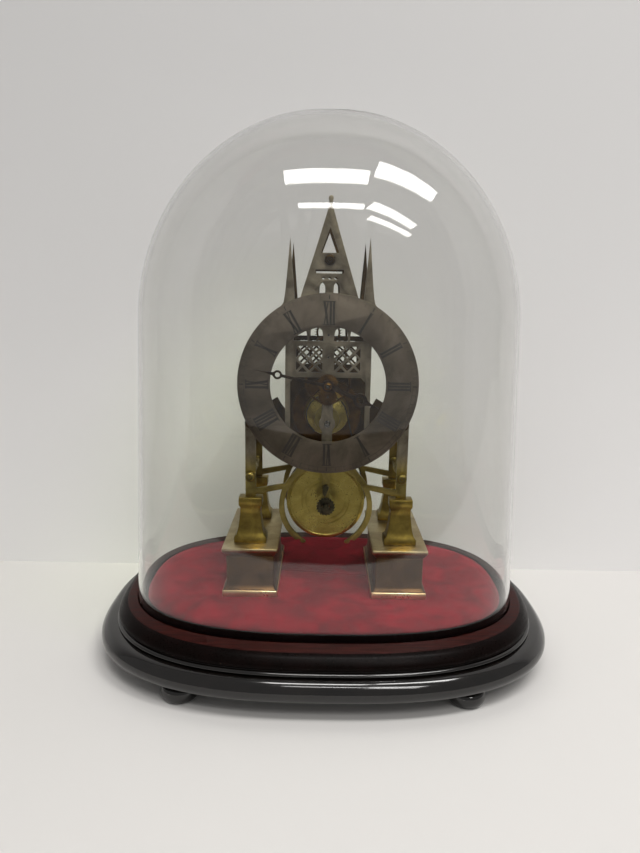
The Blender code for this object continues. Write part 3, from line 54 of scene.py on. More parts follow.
# The camera stands close in front of the clock, at the height of its spire, and looks a
# little down. It leans by one degree.
camera_place = Vector((-0.006, -0.590, 0.3226))
looking_down = 0.205
leaning = 0.0165
focal_length = 28.07
camera_data = bpy.data.cameras.new("camera")
camera_data.lens = focal_length
camera_data.clip_start = 0.01
camera = bpy.data.objects.new("camera", camera_data)
bpy.context.scene.collection.objects.link(camera)
camera.matrix_world = (
    Matrix.Translation(camera_place)
    @ Matrix.Rotation(math.pi / 2 - looking_down, 4, "X")
    @ Matrix.Rotation(leaning, 4, "Z")
)
bpy.context.scene.camera = camera


# The room: a pale painted shelf against a pale matt wall, which are no part of the clock.
# The shelf ends in front of the view, and the wall is clear from behind, to show all sides.
def linear(code):
    """An sRGB hex colour as the linear colour that a shader takes."""
    shares = [int(code[n:n + 2], 16) / 255 for n in (1, 3, 5)]
    return [s / 12.92 if s <= 0.04045 else ((s + 0.055) / 1.055) ** 2.4 for s in shares] + [1]


def add_node(tree, kind, settings=None, links=None):
    """One shader node with its settings and the sockets that feed it."""
    made = tree.nodes.new("ShaderNode" + kind)
    for key, value in (settings or {}).items():
        if isinstance(key, str) and key in made.bl_rna.properties:
            setattr(made, key, value)
        else:
            made.inputs[key].default_value = value
    for key, source in (links or {}).items():
        tree.links.new(source, made.inputs[key])
    return made


def new_material(name, **sockets):
    """A material whose shader has these plain values, and its node tree."""
    look = bpy.data.materials.new(name)
    look.use_nodes = True
    shader = look.node_tree.nodes["Principled BSDF"]
    for key, value in sockets.items():
        shader.inputs[key.replace("_", " ")].default_value = value
    return look, look.node_tree, shader


def two_tones(tree, pattern, dark, pale, low, high):
    """A colour that runs between two tones with a pattern."""
    tone = add_node(tree, "ValToRGB", None, {"Fac": pattern})
    for stop, place, code in zip(tone.color_ramp.elements, (low, high), (dark, pale)):
        stop.position = place
        stop.color = linear(code)
    return tone.outputs["Color"]


def new_piece(name, shape, *looks):
    """The finished mesh of a bmesh, smooth on its round faces."""
    mesh = bpy.data.meshes.new(name)
    shape.to_mesh(mesh)
    shape.free()
    for look in looks:
        mesh.materials.append(look)
    mesh.shade_smooth()
    mesh.set_sharp_from_angle(angle=math.radians(38))
    piece = bpy.data.objects.new(name, mesh)
    bpy.context.scene.collection.objects.link(piece)
    return piece


def paint(name, code, one_sided):
    """Rolled matt paint, a little darker towards the ceiling, where less light comes."""
    look, tree, shader = new_material(name, Roughness=0.85, Specular_IOR_Level=0.2)
    place = add_node(tree, "TexCoord").outputs["Object"]
    # Clouds of half a metre, as on a wall rolled by hand
    cloud = add_node(tree, "TexNoise", {"Scale": 2.0, "Detail": 2.0}, {"Vector": place})
    height = add_node(tree, "SeparateXYZ", None, {0: place}).outputs["Z"]
    fading = add_node(tree, "MapRange", {"From Min": 0.20, "From Max": 0.75, "To Max": 4.0},
                      {"Value": height})
    darker = add_node(tree, "Math", {"operation": "ADD"}, {0: cloud.outputs["Fac"], 1: fading.outputs[0]})
    share = add_node(tree, "Math", {"operation": "MULTIPLY", 1: 0.2}, {0: darker.outputs[0]})
    tone = add_node(tree, "Mix", {"data_type": "RGBA", 6: linear(code)}, {"Factor": share.outputs[0]})
    tone.inputs[7].default_value = [0.80 * c for c in linear(code)[:3]] + [1]
    tree.links.new(tone.outputs[2], shader.inputs["Base Color"])
    if one_sided:
        behind = add_node(tree, "NewGeometry").outputs["Backfacing"]
        clear = add_node(tree, "BsdfTransparent").outputs[0]
        both = add_node(tree, "MixShader", None, {0: behind, 1: shader.outputs[0], 2: clear})
        tree.links.new(both.outputs[0], tree.nodes["Material Output"].inputs[0])
    return look


room_half = 3.0
wall_y = 0.1485
shelf_front = -0.42
shape = bmesh.new()
bmesh.ops.create_grid(shape, size=room_half)
bmesh.ops.scale(shape, verts=shape.verts, vec=(1, (wall_y - shelf_front) / 2 / room_half, 1))
bmesh.ops.translate(shape, verts=shape.verts, vec=(0, (wall_y + shelf_front) / 2, 0))
floor = new_piece("shelf", shape, paint("painted_shelf", "#e1dfdd", False))
# The dark boards of the room lie below the shelf, out of view, and keep the glass clear
room_floor_z = -0.75
shape = bmesh.new()
bmesh.ops.create_grid(shape, size=room_half)
bmesh.ops.translate(shape, verts=shape.verts, vec=(0, wall_y - room_half, room_floor_z))
boards = new_piece("room_floor", shape, paint("dark_floorboards", "#514b45", False))
shape = bmesh.new()
bmesh.ops.create_grid(shape, size=room_half)
bmesh.ops.rotate(shape, verts=shape.verts, matrix=Matrix.Rotation(math.pi / 2, 3, "X"))
bmesh.ops.translate(shape, verts=shape.verts, vec=(0, wall_y, room_half))
wall = new_piece("wall", shape, paint("matt_wall", "#f0efef", True))

# Ceiling panels light the clock from above and in front, and the pale room does the rest.
# Their mirror images are the white bars on the dome's crown.
ceiling = 2.0
panel_light = 16.2
for number, (x, y, length, width, turn) in enumerate((
    (-0.04, -0.87, 0.66, 0.30, 0.0),
    (0.80, -0.70, 0.90, 0.36, -0.10),
    (0.02, -1.56, 0.56, 0.13, 0.0),
    (0.76, -1.68, 0.88, 0.20, -0.42),
    (0.78, -2.02, 0.88, 0.13, -0.42),
)):
    lamp = bpy.data.lights.new(f"ceiling_panel_{number + 1}", "AREA")
    lamp.shape = "RECTANGLE"
    lamp.size = length
    lamp.size_y = width
    lamp.energy = panel_light * math.pi * length * width
    lamp.color = (1.0, 0.985, 0.96)
    panel = bpy.data.objects.new(lamp.name, lamp)
    panel.location = (x, y, ceiling)
    panel.rotation_euler = (0, 0, turn)
    bpy.context.scene.collection.objects.link(panel)

room_light = 0.34
world = bpy.data.worlds.new("pale_room")
bpy.context.scene.world = world
world.use_nodes = True
background = world.node_tree.nodes["Background"]
background.inputs["Strength"].default_value = room_light
background.inputs["Color"].default_value = linear("#fdfcfa")


# Bun feet and the two tiers of the stand: turned and moulded softwood, ebonised and
# polished. Black shellac gives sharp, thin reflections, with faint brush drag and dust.
def ebonised(name, dark, pale, polish, specular):
    """Wood under black shellac. The polish is its lowest roughness."""
    look, tree, shader = new_material(name, Specular_IOR_Level=specular)
    place = add_node(tree, "TexCoord").outputs["Object"]
    # Brush drag 4 mm wide, and dust and handling marks a few millimetres across
    drag = add_node(tree, "TexNoise", {"Scale": 60.0, "Detail": 3.0, "Distortion": 0.4}, {"Vector": place})
    dust = add_node(tree, "TexNoise", {"Scale": 700.0, "Detail": 4.0}, {"Vector": place})
    tone = two_tones(tree, drag.outputs["Fac"], dark, pale, 0.35, 0.75)
    tree.links.new(tone, shader.inputs["Base Color"])
    spread = {"From Min": 0.35, "From Max": 0.75, "To Min": polish, "To Max": 2 * polish}
    gloss = add_node(tree, "MapRange", spread, {"Value": dust.outputs["Fac"]})
    tree.links.new(gloss.outputs[0], shader.inputs["Roughness"])
    relief = add_node(tree, "Bump", {"Strength": 0.08, "Distance": 0.0004}, {"Height": drag.outputs["Fac"]})
    tree.links.new(relief.outputs[0], shader.inputs["Normal"])
    return look


def lathe(profile, sides, centre=(0, 0, 0), axis="Z", ring=False):
    """A turned shape: the (radius, height) points spun once round an upright or lying axis."""
    shape = bmesh.new()
    points = [shape.verts.new((radius, 0, height)) for radius, height in profile]
    following = points[1:] + points[:1] if ring else points[1:]
    edges = [shape.edges.new(pair) for pair in zip(points, following)]
    bmesh.ops.spin(shape, geom=points + edges, cent=(0, 0, 0), axis=(0, 0, 1), angle=2 * math.pi,
                   steps=sides, use_merge=True)
    bmesh.ops.remove_doubles(shape, verts=shape.verts, dist=0.000002)
    if axis == "Y":
        bmesh.ops.rotate(shape, verts=shape.verts, matrix=Matrix.Rotation(-math.pi / 2, 3, "X"))
    bmesh.ops.translate(shape, verts=shape.verts, vec=centre)
    bmesh.ops.recalc_face_normals(shape, faces=shape.faces)
    return shape


def smoothed(points, steps):
    """The same open line drawn as a smooth curve through its points."""
    line = [points[0], *points, points[-1]]
    curve = []
    for before, start, end, after in zip(line, line[1:], line[2:], line[3:]):
        for n in range(steps):
            t = n / steps
            curve.append(tuple(
                0.5 * (2 * b + (c - a) * t
                       + (2 * a - 5 * b + 4 * c - d) * t**2
                       + (3 * b - a - 3 * c + d) * t**3)
                for a, b, c, d in zip(before, start, end, after)
            ))
    return curve + [points[-1]]


def settle(piece, body, slot, *nodes):
    """Lets a piece ride on its body in place of these nodes."""
    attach(piece, body)
    if nodes:
        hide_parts(*nodes)
    return piece


black_polish = ebonised("ebonised_shellac_polish", "#070504", "#110d0b", 0.07, 0.7)
for name in ("bun_foot_front_left", "bun_foot_front_right", "bun_foot_rear_left", "bun_foot_rear_right"):
    low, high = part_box(name)
    middle = (low + high) / 2
    radius = (high.x - low.x) / 2
    height = high.z - low.z
    side = smoothed([(0.62, 0.0), (0.86, 0.12), (0.99, 0.42), (0.94, 0.72), (0.70, 0.90), (0.60, 0.94)], 5)
    profile = [(0, 0), (0.5, 0), *side, (0.72, 0.96), (0.72, 1.0), (0, 1.0)]
    shape = lathe([(r * radius, h * height) for r, h in profile], 48, (middle.x, middle.y, low.z))
    settle(new_piece(f"turned_{name}", shape, black_polish), "frame", "ebonised_wood", name)


fullness = 2.6


def oval_point(angle, half_length, half_width):
    """A point of the stand's outline, which is a little squarer than an ellipse."""
    cosine, sine = math.cos(angle), math.sin(angle)
    x = math.copysign(abs(cosine) ** (2 / fullness), cosine)
    y = math.copysign(abs(sine) ** (2 / fullness), sine)
    return x * half_length, y * half_width


def oval_moulding(sections, sides=160, closed=True):
    """Ovals of (half length, half width, height), bridged one to the next."""
    shape = bmesh.new()
    loops = []
    for number, (half_length, half_width, height) in enumerate(sections):
        end = closed and number in (0, len(sections) - 1)
        ring = bmesh.ops.create_circle(shape, cap_ends=end, radius=1, segments=sides)["verts"]
        for vert in ring:
            x, y = oval_point(math.atan2(vert.co.y, vert.co.x), half_length, half_width)
            vert.co = (x, y, height)
        loops.append(list({edge for vert in ring for edge in vert.link_edges}))
    for lower, upper in zip(loops, loops[1:]):
        bmesh.ops.bridge_loops(shape, edges=lower + upper)
    bmesh.ops.recalc_face_normals(shape, faces=shape.faces)
    return shape


low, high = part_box("lower_base")
step_in = 0.014
height = high.z - low.z
outer_line = smoothed(
    [(0.34, 0.0), (0.12, 0.08), (0.0, 0.28), (0.0, 0.46), (0.08, 0.64), (0.26, 0.82), (0.50, 0.94),
     (1.0, 1.0)], 6
)
sections = [(high.x - i * step_in, high.y - i * step_in, low.z + h * height) for i, h in outer_line]
lower_tier = new_piece("moulded_lower_tier", oval_moulding(sections), black_polish)
settle(lower_tier, "frame", "ebonised_wood", "lower_base")


def painted_velvet_reflection():
    """The flat rim on both sides of the dome's foot: matt grained wood whose red-brown is a painted
    reflection of the crimson velvet.
    """
    look, tree, shader = new_material("grained_wood_painted_red_reflection", Specular_IOR_Level=0.12)
    place = add_node(tree, "TexCoord").outputs["Object"]
    # Grain lines 2 mm apart that run along the stand
    along = add_node(tree, "Mapping", {"Scale": (0.08, 1.0, 1.0)}, {"Vector": place})
    grain = add_node(tree, "TexNoise", {"Scale": 500.0, "Detail": 4.0, "Distortion": 0.3},
                     {"Vector": along.outputs[0]})
    # The red-brown tones are a painted reflection of the velvet, over the wood's own grain
    tone = two_tones(tree, grain.outputs["Fac"], "#200604", "#38100b", 0.35, 0.70)
    tree.links.new(tone, shader.inputs["Base Color"])
    gloss = add_node(tree, "MapRange", {"To Min": 0.30, "To Max": 0.55}, {"Value": grain.outputs["Fac"]})
    tree.links.new(gloss.outputs[0], shader.inputs["Roughness"])
    return look


low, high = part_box("upper_base")
step_in = 0.017
height = high.z - low.z
dome_low, dome_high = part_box("glass_dome")
bead_top = 0.23
flat_from = 0.97
outer_line = smoothed([(0.05, 0.0), (0.0, 0.06), (0.03, 0.14), (0.12, 0.20), (0.16, 0.21)], 5)
outer_line.append((0.17, bead_top))
outer_line += smoothed([(0.12, 0.25), (0.08, 0.36), (0.12, 0.55), (0.34, 0.84), (0.60, 1.0)], 6)
sections = [(high.x - i * step_in, high.y - i * step_in, low.z + h * height) for i, h in outer_line]
glass_wall = 0.003
play = 0.0005
groove = 0.004
groove_floor = high.z - groove
for edge, z in (
    (play, high.z), (play, groove_floor), (-glass_wall - play, groove_floor), (-glass_wall - play, high.z)
):
    sections.append((dome_high.x + edge, dome_high.y + edge, z))


def within_dome(face):
    """Whether all of a face lies within the dome's foot, give or take its play in the groove."""
    return all(
        abs(vert.co.x / dome_high.x) ** fullness + abs(vert.co.y / dome_high.y) ** fullness < 1.02
        for vert in face.verts
    )


shape = oval_moulding(sections)
polished, dulled, reflecting_red = range(3)
# The flat rim and the inside of the groove take the painted velvet reflection
for face in shape.faces:
    share = (face.calc_center_median().z - low.z) / height
    if share > flat_from or share > 0.5 and within_dome(face):
        face.material_index = reflecting_red
    else:
        face.material_index = polished if share < bead_top else dulled
worn_polish = ebonised("dulled_shellac_polish", "#070302", "#0f0605", 0.26, 0.06)
upper_tier = new_piece("moulded_upper_tier", shape, black_polish, worn_polish, painted_velvet_reflection())
settle(upper_tier, "frame", "ebonised_wood", "upper_base")


# Velvet stretched over a thin board and turned down round its edge. Crimson silk pile: it
# glows at grazing angles, and its nap lies in soft uneven patches.
def silk_velvet():
    look, tree, shader = new_material("crimson_silk_velvet", Roughness=0.9, Sheen_Weight=0.5,
                                      Sheen_Roughness=0.35)
    shader.inputs["Specular IOR Level"].default_value = 0.1
    shader.inputs["Sheen Tint"].default_value = linear("#ff8a98")
    place = add_node(tree, "TexCoord").outputs["Object"]
    # Brushed patches 20 mm across, and pile drawn at 0.8 mm, coarser than the real tufts
    patches = add_node(tree, "TexNoise", {"Scale": 45.0, "Detail": 3.0, "Distortion": 0.8}, {"Vector": place})
    pile = add_node(tree, "TexNoise", {"Scale": 1300.0, "Detail": 2.0}, {"Vector": place})
    tone = two_tones(tree, patches.outputs["Fac"], "#5c0614", "#8c0f22", 0.32, 0.70)
    grain = add_node(tree, "Mix", {"data_type": "RGBA", "blend_type": "MULTIPLY", "Factor": 0.35},
                     {6: tone, 7: pile.outputs["Fac"]})
    tree.links.new(grain.outputs[2], shader.inputs["Base Color"])
    relief = add_node(tree, "Bump", {"Strength": 0.5, "Distance": 0.0006}, {"Height": pile.outputs["Fac"]})
    tree.links.new(relief.outputs[0], shader.inputs["Normal"])
    return look


low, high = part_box("velvet_board")
roll_across, roll_down = 0.016, 0.0072
cloth = 0.0006
clear_of_rim = 0.0002
edge_line = [(0.0, low.z + clear_of_rim), (0.0, high.z - roll_down)]
quarter_steps = 10
for n in range(1, quarter_steps + 1):
    angle = math.pi / 2 * n / quarter_steps
    edge_line.append((roll_across * (1 - math.cos(angle)), high.z - roll_down * (1 - math.sin(angle))))
sections = [(high.x - i, high.y - i, z) for i, z in edge_line]
shape = oval_moulding(sections, closed=False)
rim = [e for e in shape.edges if e.is_boundary and e.verts[0].co.z > high.z - roll_down / 2]
top = bmesh.ops.edgeloop_fill(shape, edges=rim)["faces"]
for inset in (0.004, 0.012, 0.02, 0.025):
    bmesh.ops.inset_region(shape, faces=top, thickness=inset, use_even_offset=True)
bmesh.ops.recalc_face_normals(shape, faces=shape.faces)
velvet = new_piece("velvet_cover", shape, silk_velvet())
thickness = velvet.modifiers.new("cloth", "SOLIDIFY")
thickness.thickness = cloth
thickness.offset = -1
settle(velvet, "frame", "velvet", "velvet_board")


# Oval shade of blown glass, 3 mm thick, that stands in the groove of the stand. It is clear
# with a faint grey cast, a little uneven, and narrows a little towards its round crown.
def blown_glass():
    look, tree, shader = new_material("clear_blown_glass", Roughness=0.0, IOR=1.45)
    shader.inputs["Transmission Weight"].default_value = 1.0
    shader.inputs["Base Color"].default_value = linear("#f3f3f2")
    place = add_node(tree, "TexCoord").outputs["Object"]
    # Ripples of 60 mm from the blowing
    ripple = add_node(tree, "TexNoise", {"Scale": 16.0, "Detail": 1.0}, {"Vector": place})
    relief = add_node(tree, "Bump", {"Strength": 0.06, "Distance": 0.002}, {"Height": ripple.outputs["Fac"]})
    tree.links.new(relief.outputs[0], shader.inputs["Normal"])
    shadow = add_node(tree, "LightPath").outputs["Is Shadow Ray"]
    clear = add_node(tree, "BsdfTransparent", {"Color": linear("#f6f8f2")}).outputs[0]
    both = add_node(tree, "MixShader", None, {0: shadow, 1: shader.outputs[0], 2: clear})
    tree.links.new(both.outputs[0], tree.nodes["Material Output"].inputs[0])
    return look


spring_line = 0.2906
taper = 0.948
crown_rings = 30
outside, inside = [], []
for line, thinner in ((outside, 0.0), (inside, glass_wall)):
    across, deep = dome_high.x - thinner, dome_high.y - thinner
    tall = dome_high.z - thinner - spring_line
    for share in (0.0, 0.004, 0.02, 0.1, 0.3, 0.6, 0.9, 1.0):
        scale = 1 - (1 - taper) * share
        line.append((across * scale, deep * scale, dome_low.z + share * (spring_line - dome_low.z)))
    for n in range(1, crown_rings + 1):
        angle = math.pi / 2 * n / (crown_rings + 0.5)
        scale = taper * math.cos(angle)
        line.append((across * scale, deep * scale, spring_line + tall * math.sin(angle)))
shade = new_piece("oval_glass_shade", oval_moulding(inside[::-1] + outside), blown_glass())
settle(shade, "dome", "glass", "glass_dome")


# Two brass pedestals, each a block with a base moulding and a loose cap. Cast brass, filed
# and lacquered, pale gold on the caps; the blocks are darkened by a painted reflection of the
# velvet and the dim room, and the base mouldings are lightened by a painted highlight.
def aged_brass(name, bright, dull, roughness, turned_round=None, stain_size=0.016, scratch=0.12, lower_tones=None):
    """Brass or a like metal: two tones in clouds, uneven gloss, and file or lathe marks."""
    look, tree, shader = new_material(name, Metallic=1.0)
    place = add_node(tree, "TexCoord").outputs["Object"]
    billows = {"Scale": 1 / stain_size, "Detail": 5.0, "Roughness": 0.6, "Distortion": 0.5}
    clouds = add_node(tree, "TexNoise", billows, {"Vector": place})
    tone = two_tones(tree, clouds.outputs["Fac"], dull, bright, 0.34, 0.66)
    if lower_tones:
        # Below this height the metal takes the second pair of tones in place of the first
        height, gold_bright, gold_dull = lower_tones
        fade = 0.008
        gold = two_tones(tree, clouds.outputs["Fac"], gold_dull, gold_bright, 0.34, 0.66)
        upright = add_node(tree, "SeparateXYZ", None, {0: place}).outputs["Z"]
        below_height = add_node(tree, "MapRange", {"From Min": height + fade, "From Max": height - fade},
                           {"Value": upright}).outputs[0]
        tone = add_node(tree, "Mix", {"data_type": "RGBA"}, {"Factor": below_height, 6: tone, 7: gold}).outputs[2]
    tree.links.new(tone, shader.inputs["Base Color"])
    fine = add_node(tree, "TexNoise", {"Scale": 900.0, "Detail": 3.0}, {"Vector": place})
    uneven = add_node(tree, "Math", {"operation": "MULTIPLY_ADD", 1: 0.16, 2: roughness - 0.08},
                      {0: fine.outputs["Fac"]})
    cloudy = add_node(tree, "Math", {"operation": "MULTIPLY_ADD", 1: -0.14, 2: 0.07},
                      {0: clouds.outputs["Fac"]})
    gloss = add_node(tree, "Math", {"operation": "ADD", "use_clamp": True},
                     {0: uneven.outputs[0], 1: cloudy.outputs[0]})
    tree.links.new(gloss.outputs[0], shader.inputs["Roughness"])
    if turned_round:
        x, z = turned_round
        centred = add_node(tree, "Mapping", {"Location": (-x, 0, -z), "Scale": (1, 0, 1)}, {"Vector": place})
        radius = add_node(tree, "VectorMath", {"operation": "LENGTH"}, {0: centred.outputs[0]})
        # Lathe marks, drawn coarser than the real ones
        apart = 0.0007
        marks = add_node(tree, "Math", {"operation": "MULTIPLY", 1: 2 * math.pi / apart},
                         {0: radius.outputs["Value"]})
        height = add_node(tree, "Math", {"operation": "SINE"}, {0: marks.outputs[0]})
    else:
        drawn = add_node(tree, "Mapping", {"Scale": (1.0, 1.0, 0.08)}, {"Vector": place})
        height = add_node(tree, "TexNoise", {"Scale": 1400.0, "Detail": 2.0}, {"Vector": drawn.outputs[0]})
    relief = add_node(tree, "Bump", {"Strength": scratch, "Distance": 0.0002}, {"Height": height.outputs[0]})
    tree.links.new(relief.outputs[0], shader.inputs["Normal"])
    return look


def dressed(node, looks, edge, body, slot, rounding=52, second=None):
    """A node's own shape, its flats merged, coarse curves rounded and edges eased.

    A fold of less than rounding degrees is a coarse curve. The faces whose middle passes
    the second test take the second look.
    """
    shape = bmesh.new()
    shape.from_mesh(frame["nodes"][node].data)
    bmesh.ops.remove_doubles(shape, verts=shape.verts, dist=0.00002)
    bmesh.ops.dissolve_limit(shape, angle_limit=math.radians(0.6), verts=shape.verts, edges=shape.edges)
    bmesh.ops.recalc_face_normals(shape, faces=shape.faces)
    if rounding:
        least, most = math.radians(3), math.radians(rounding)
        curved = [e for e in shape.edges if e.is_manifold and least < e.calc_face_angle() < most]
        bmesh.ops.bevel(shape, geom=curved, offset=42, offset_type="PERCENT", segments=3, profile=0.5,
                        affect="EDGES", material=-1, clamp_overlap=True)
    if edge:
        sharp = [e for e in shape.edges if e.is_manifold and e.calc_face_angle() > math.radians(55)]
        bmesh.ops.bevel(shape, geom=sharp, offset=edge, offset_type="OFFSET", segments=2, profile=0.5,
                        affect="EDGES", material=-1, clamp_overlap=True)
    for face in shape.faces:
        face.material_index = int(bool(second and second(face.calc_center_median())))
    piece = new_piece(f"finished_{node}", shape, *looks)
    return settle(piece, body, slot, node)


pale_brass = aged_brass("lacquered_cast_brass", "#bfae8a", "#918060", 0.36, stain_size=0.02)
dark_reflection_brass = aged_brass("brass_painted_dark_reflection", "#6c5034", "#4a3522", 0.44, stain_size=0.018)
highlight_brass = aged_brass("brass_painted_highlight", "#f3dcae", "#d0b084", 0.30, stain_size=0.02)
foot_brass = aged_brass("olive_cast_brass", "#a08a42", "#6e5c2b", 0.34, stain_size=0.012)
for side in ("left", "right"):
    low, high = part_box(f"{side}_plinth")
    # Below this height the base moulding takes the painted highlight; the block above takes the painted dark
    # reflection
    strip_top = low.z + 0.16 * (high.z - low.z)
    dressed(f"{side}_plinth", (dark_reflection_brass, highlight_brass), 0.0005, "frame", "lacquered_brass", rounding=0,
            second=lambda place: place.z < strip_top)
    dressed(f"{side}_plinth_cap", (pale_brass,), 0.0004, "frame", "lacquered_brass", rounding=0)
    for end in ("front", "rear"):
        dressed(f"frame_foot_{end}_{side}", (foot_brass,), 0.0004, "frame", "lacquered_brass", rounding=0)


# The two plates are fretted from hard brass sheet, with filed edges. The front one is a dull grey
# olive, and the rear one is a dark brown that is painted shade, deep in the movement.
lower_tones_top = 0.176
front_brass = aged_brass("grey_olive_fretted_brass", "#a19783", "#6e6556", 0.40, stain_size=0.022,
                         lower_tones=(lower_tones_top, "#a39356", "#6f6336"))
# The rear plate's dark brown is painted shade; below the given height it keeps a brass gold
painted_shade_brass = aged_brass("brass_with_painted_shade", "#4f3d22", "#2c2012", 0.46, stain_size=0.022,
                        lower_tones=(lower_tones_top, "#8b7b45", "#5c5029"))
dressed("front_plate", (front_brass,), 0.0003, "frame", "toned_brass", rounding=40)
dressed("rear_plate", (painted_shade_brass,), 0.0003, "frame", "toned_brass", rounding=40)


# Five turned pillars, riveted into the rear plate, and a round nut on each at the front.
# Each is a slim baluster with a knop in its middle and a bead and collar at each end.
inner_face, outer_face = 0.030, 0.033
seat = 0.0003
pillar_half = inner_face - seat
pillar_tip = 0.0016
nut_hole = 0.00197
low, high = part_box("pillar_spire")
pillar_radius = (high.x - low.x) / 2
taper_points = smoothed([(0.64, 0.86), (0.60, 0.78), (0.68, 0.52), (0.84, 0.26), (0.74, 0.13)], 5)
half_profile = [(1.0, 1.0), (1.0, 0.955), (0.80, 0.945), (0.78, 0.93)]
half_profile += smoothed([(0.84, 0.925), (0.94, 0.90), (0.84, 0.875), (0.66, 0.868)], 3)
half_profile += taper_points + smoothed([(0.86, 0.125), (0.98, 0.06), (1.0, 0.0)], 4)
back_half = [(r * pillar_radius, y * pillar_half) for r, y in half_profile]
# The pillars and their nuts take the same dark brown painted shade as the rear plate
for place in ("low_left", "low_right", "foot_left", "foot_right", "spire"):
    low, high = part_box(f"pillar_{place}")
    x, z = (low.x + high.x) / 2, (low.z + high.z) / 2
    profile = [(0, high.y), (pillar_tip, high.y), (pillar_tip, pillar_half), *back_half]
    profile += [(r, -y) for r, y in reversed(back_half[:-1])]
    profile += [(pillar_tip, -pillar_half), (pillar_tip, low.y + 0.0004), (pillar_tip * 0.8, low.y)]
    profile.append((0, low.y))
    shape = lathe(profile, 32, (x, 0, z), "Y")
    settle(new_piece(f"baluster_{place}", shape, painted_shade_brass), "frame", "toned_brass", f"pillar_{place}")
    low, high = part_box(f"pillar_nut_{place}")
    radius = (high.x - low.x) / 2
    deep = high.y - low.y
    side = [(0.72, 0.03), (0.86, 0.14), (0.97, 0.34), (1.0, 0.50), (1.0, 0.86), (0.96, 0.94), (0.96, 1.0)]
    profile = [(nut_hole, high.y), (nut_hole, low.y)]
    profile += [(r * radius, low.y + y * deep) for r, y in side]
    shape = lathe(profile, 40, (x, 0, z), "Y", ring=True)
    settle(new_piece(f"round_nut_{place}", shape, painted_shade_brass), "frame", "toned_brass", f"pillar_nut_{place}")
dressed("back_cock", (front_brass,), 0.0002, "frame", "toned_brass")


# The chapter ring is a brass ring, silvered and darkened to a grey brown as a painted reflection
# of the dim room in front, with numerals engraved and filled with black wax: bold, narrow letters under one
# shared serif.
low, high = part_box("chapter_ring")
centre_z = (low.z + high.z) / 2
dial_front = low.y
# Grey brown: a painted reflection of the dim room that the ring faces
reflection_dark_silvering = aged_brass("silvered_brass_painted_reflection", "#6f655a", "#4a4238", 0.44, (0, centre_z), 0.03, 0.05)
reflection_dark_silvering.node_tree.nodes["Principled BSDF"].inputs["Metallic"].default_value = 0.85
dressed("chapter_ring", (reflection_dark_silvering,), 0.00025, "frame", "dial_metal", rounding=50)


def stroke(shape, start, end, width, proud):
    """A flat bar of wax from one point of the dial to another, standing just proud of it."""
    start, end = Vector((start[0], 0, start[1])), Vector((end[0], 0, end[1]))
    along = end - start
    bar = bmesh.ops.create_cube(shape, size=1)["verts"]
    bmesh.ops.scale(shape, verts=bar, vec=(width, proud, along.length))
    turn = Vector((0, 0, 1)).rotation_difference(along).to_matrix()
    bmesh.ops.rotate(shape, verts=bar, matrix=turn)
    bmesh.ops.translate(shape, verts=bar, vec=(start + end) / 2)
    return bar


NUMERALS = ("XII", "I", "II", "III", "IIII", "V", "VI", "VII", "VIII", "IX", "X", "XI")
numeral_low, numeral_high = 0.0497, 0.0680
letter_width = {"I": 0.0025, "V": 0.0045, "X": 0.0048}
thick, thin, serif, serif_reach = 0.0019, 0.0009, 0.0007, 0.0004
proud = 0.00008
shape = bmesh.new()
for hour, numeral in enumerate(NUMERALS):
    written = []
    whole = sum(letter_width[letter] for letter in numeral)
    across = -whole / 2
    for letter in numeral:
        wide = letter_width[letter]
        left, right, middle = across + thick / 2, across + wide - thick / 2, across + wide / 2
        if letter == "I":
            written += stroke(shape, (middle, numeral_low), (middle, numeral_high), thick, proud)
        elif letter == "V":
            written += stroke(shape, (left, numeral_high), (middle, numeral_low), thick, proud)
            written += stroke(shape, (right, numeral_high), (middle, numeral_low), thin, proud)
        else:
            written += stroke(shape, (left, numeral_high), (right, numeral_low), thick, proud)
            written += stroke(shape, (right, numeral_high), (left, numeral_low), thin, proud)
        across += wide
    overhang = whole / 2 + serif_reach
    for z in (numeral_low, numeral_high):
        written += stroke(shape, (-overhang, z), (overhang, z), serif, proud)
    bmesh.ops.rotate(shape, verts=written, matrix=Matrix.Rotation(2 * math.pi * hour / 12, 3, "Y"))
track_inner, track_outer = 0.0698, 0.0732
hour_mark, fine_line = 0.0008, 0.0003
for minute in range(60):
    width = hour_mark if minute % 5 == 0 else fine_line
    tick = stroke(shape, (0, track_inner), (0, track_outer), width, proud)
    bmesh.ops.rotate(shape, verts=tick, matrix=Matrix.Rotation(2 * math.pi * minute / 60, 3, "Y"))
bmesh.ops.translate(shape, verts=shape.verts, vec=(0, dial_front, centre_z))
for radius in (track_inner, track_outer):
    ring = bmesh.new()
    bmesh.ops.create_circle(ring, radius=radius - fine_line / 2, segments=192)
    inner_edges = list(ring.edges)
    bmesh.ops.create_circle(ring, radius=radius + fine_line / 2, segments=192)
    outer_edges = [edge for edge in ring.edges if edge not in inner_edges]
    faces = bmesh.ops.bridge_loops(ring, edges=inner_edges + outer_edges)["faces"]
    bmesh.ops.solidify(ring, geom=faces, thickness=proud)
    bmesh.ops.rotate(ring, verts=ring.verts, matrix=Matrix.Rotation(math.pi / 2, 3, "X"))
    bmesh.ops.translate(ring, verts=ring.verts, vec=(0, dial_front, centre_z))
    mesh = bpy.data.meshes.new("track_line")
    ring.to_mesh(mesh)
    ring.free()
    shape.from_mesh(mesh)


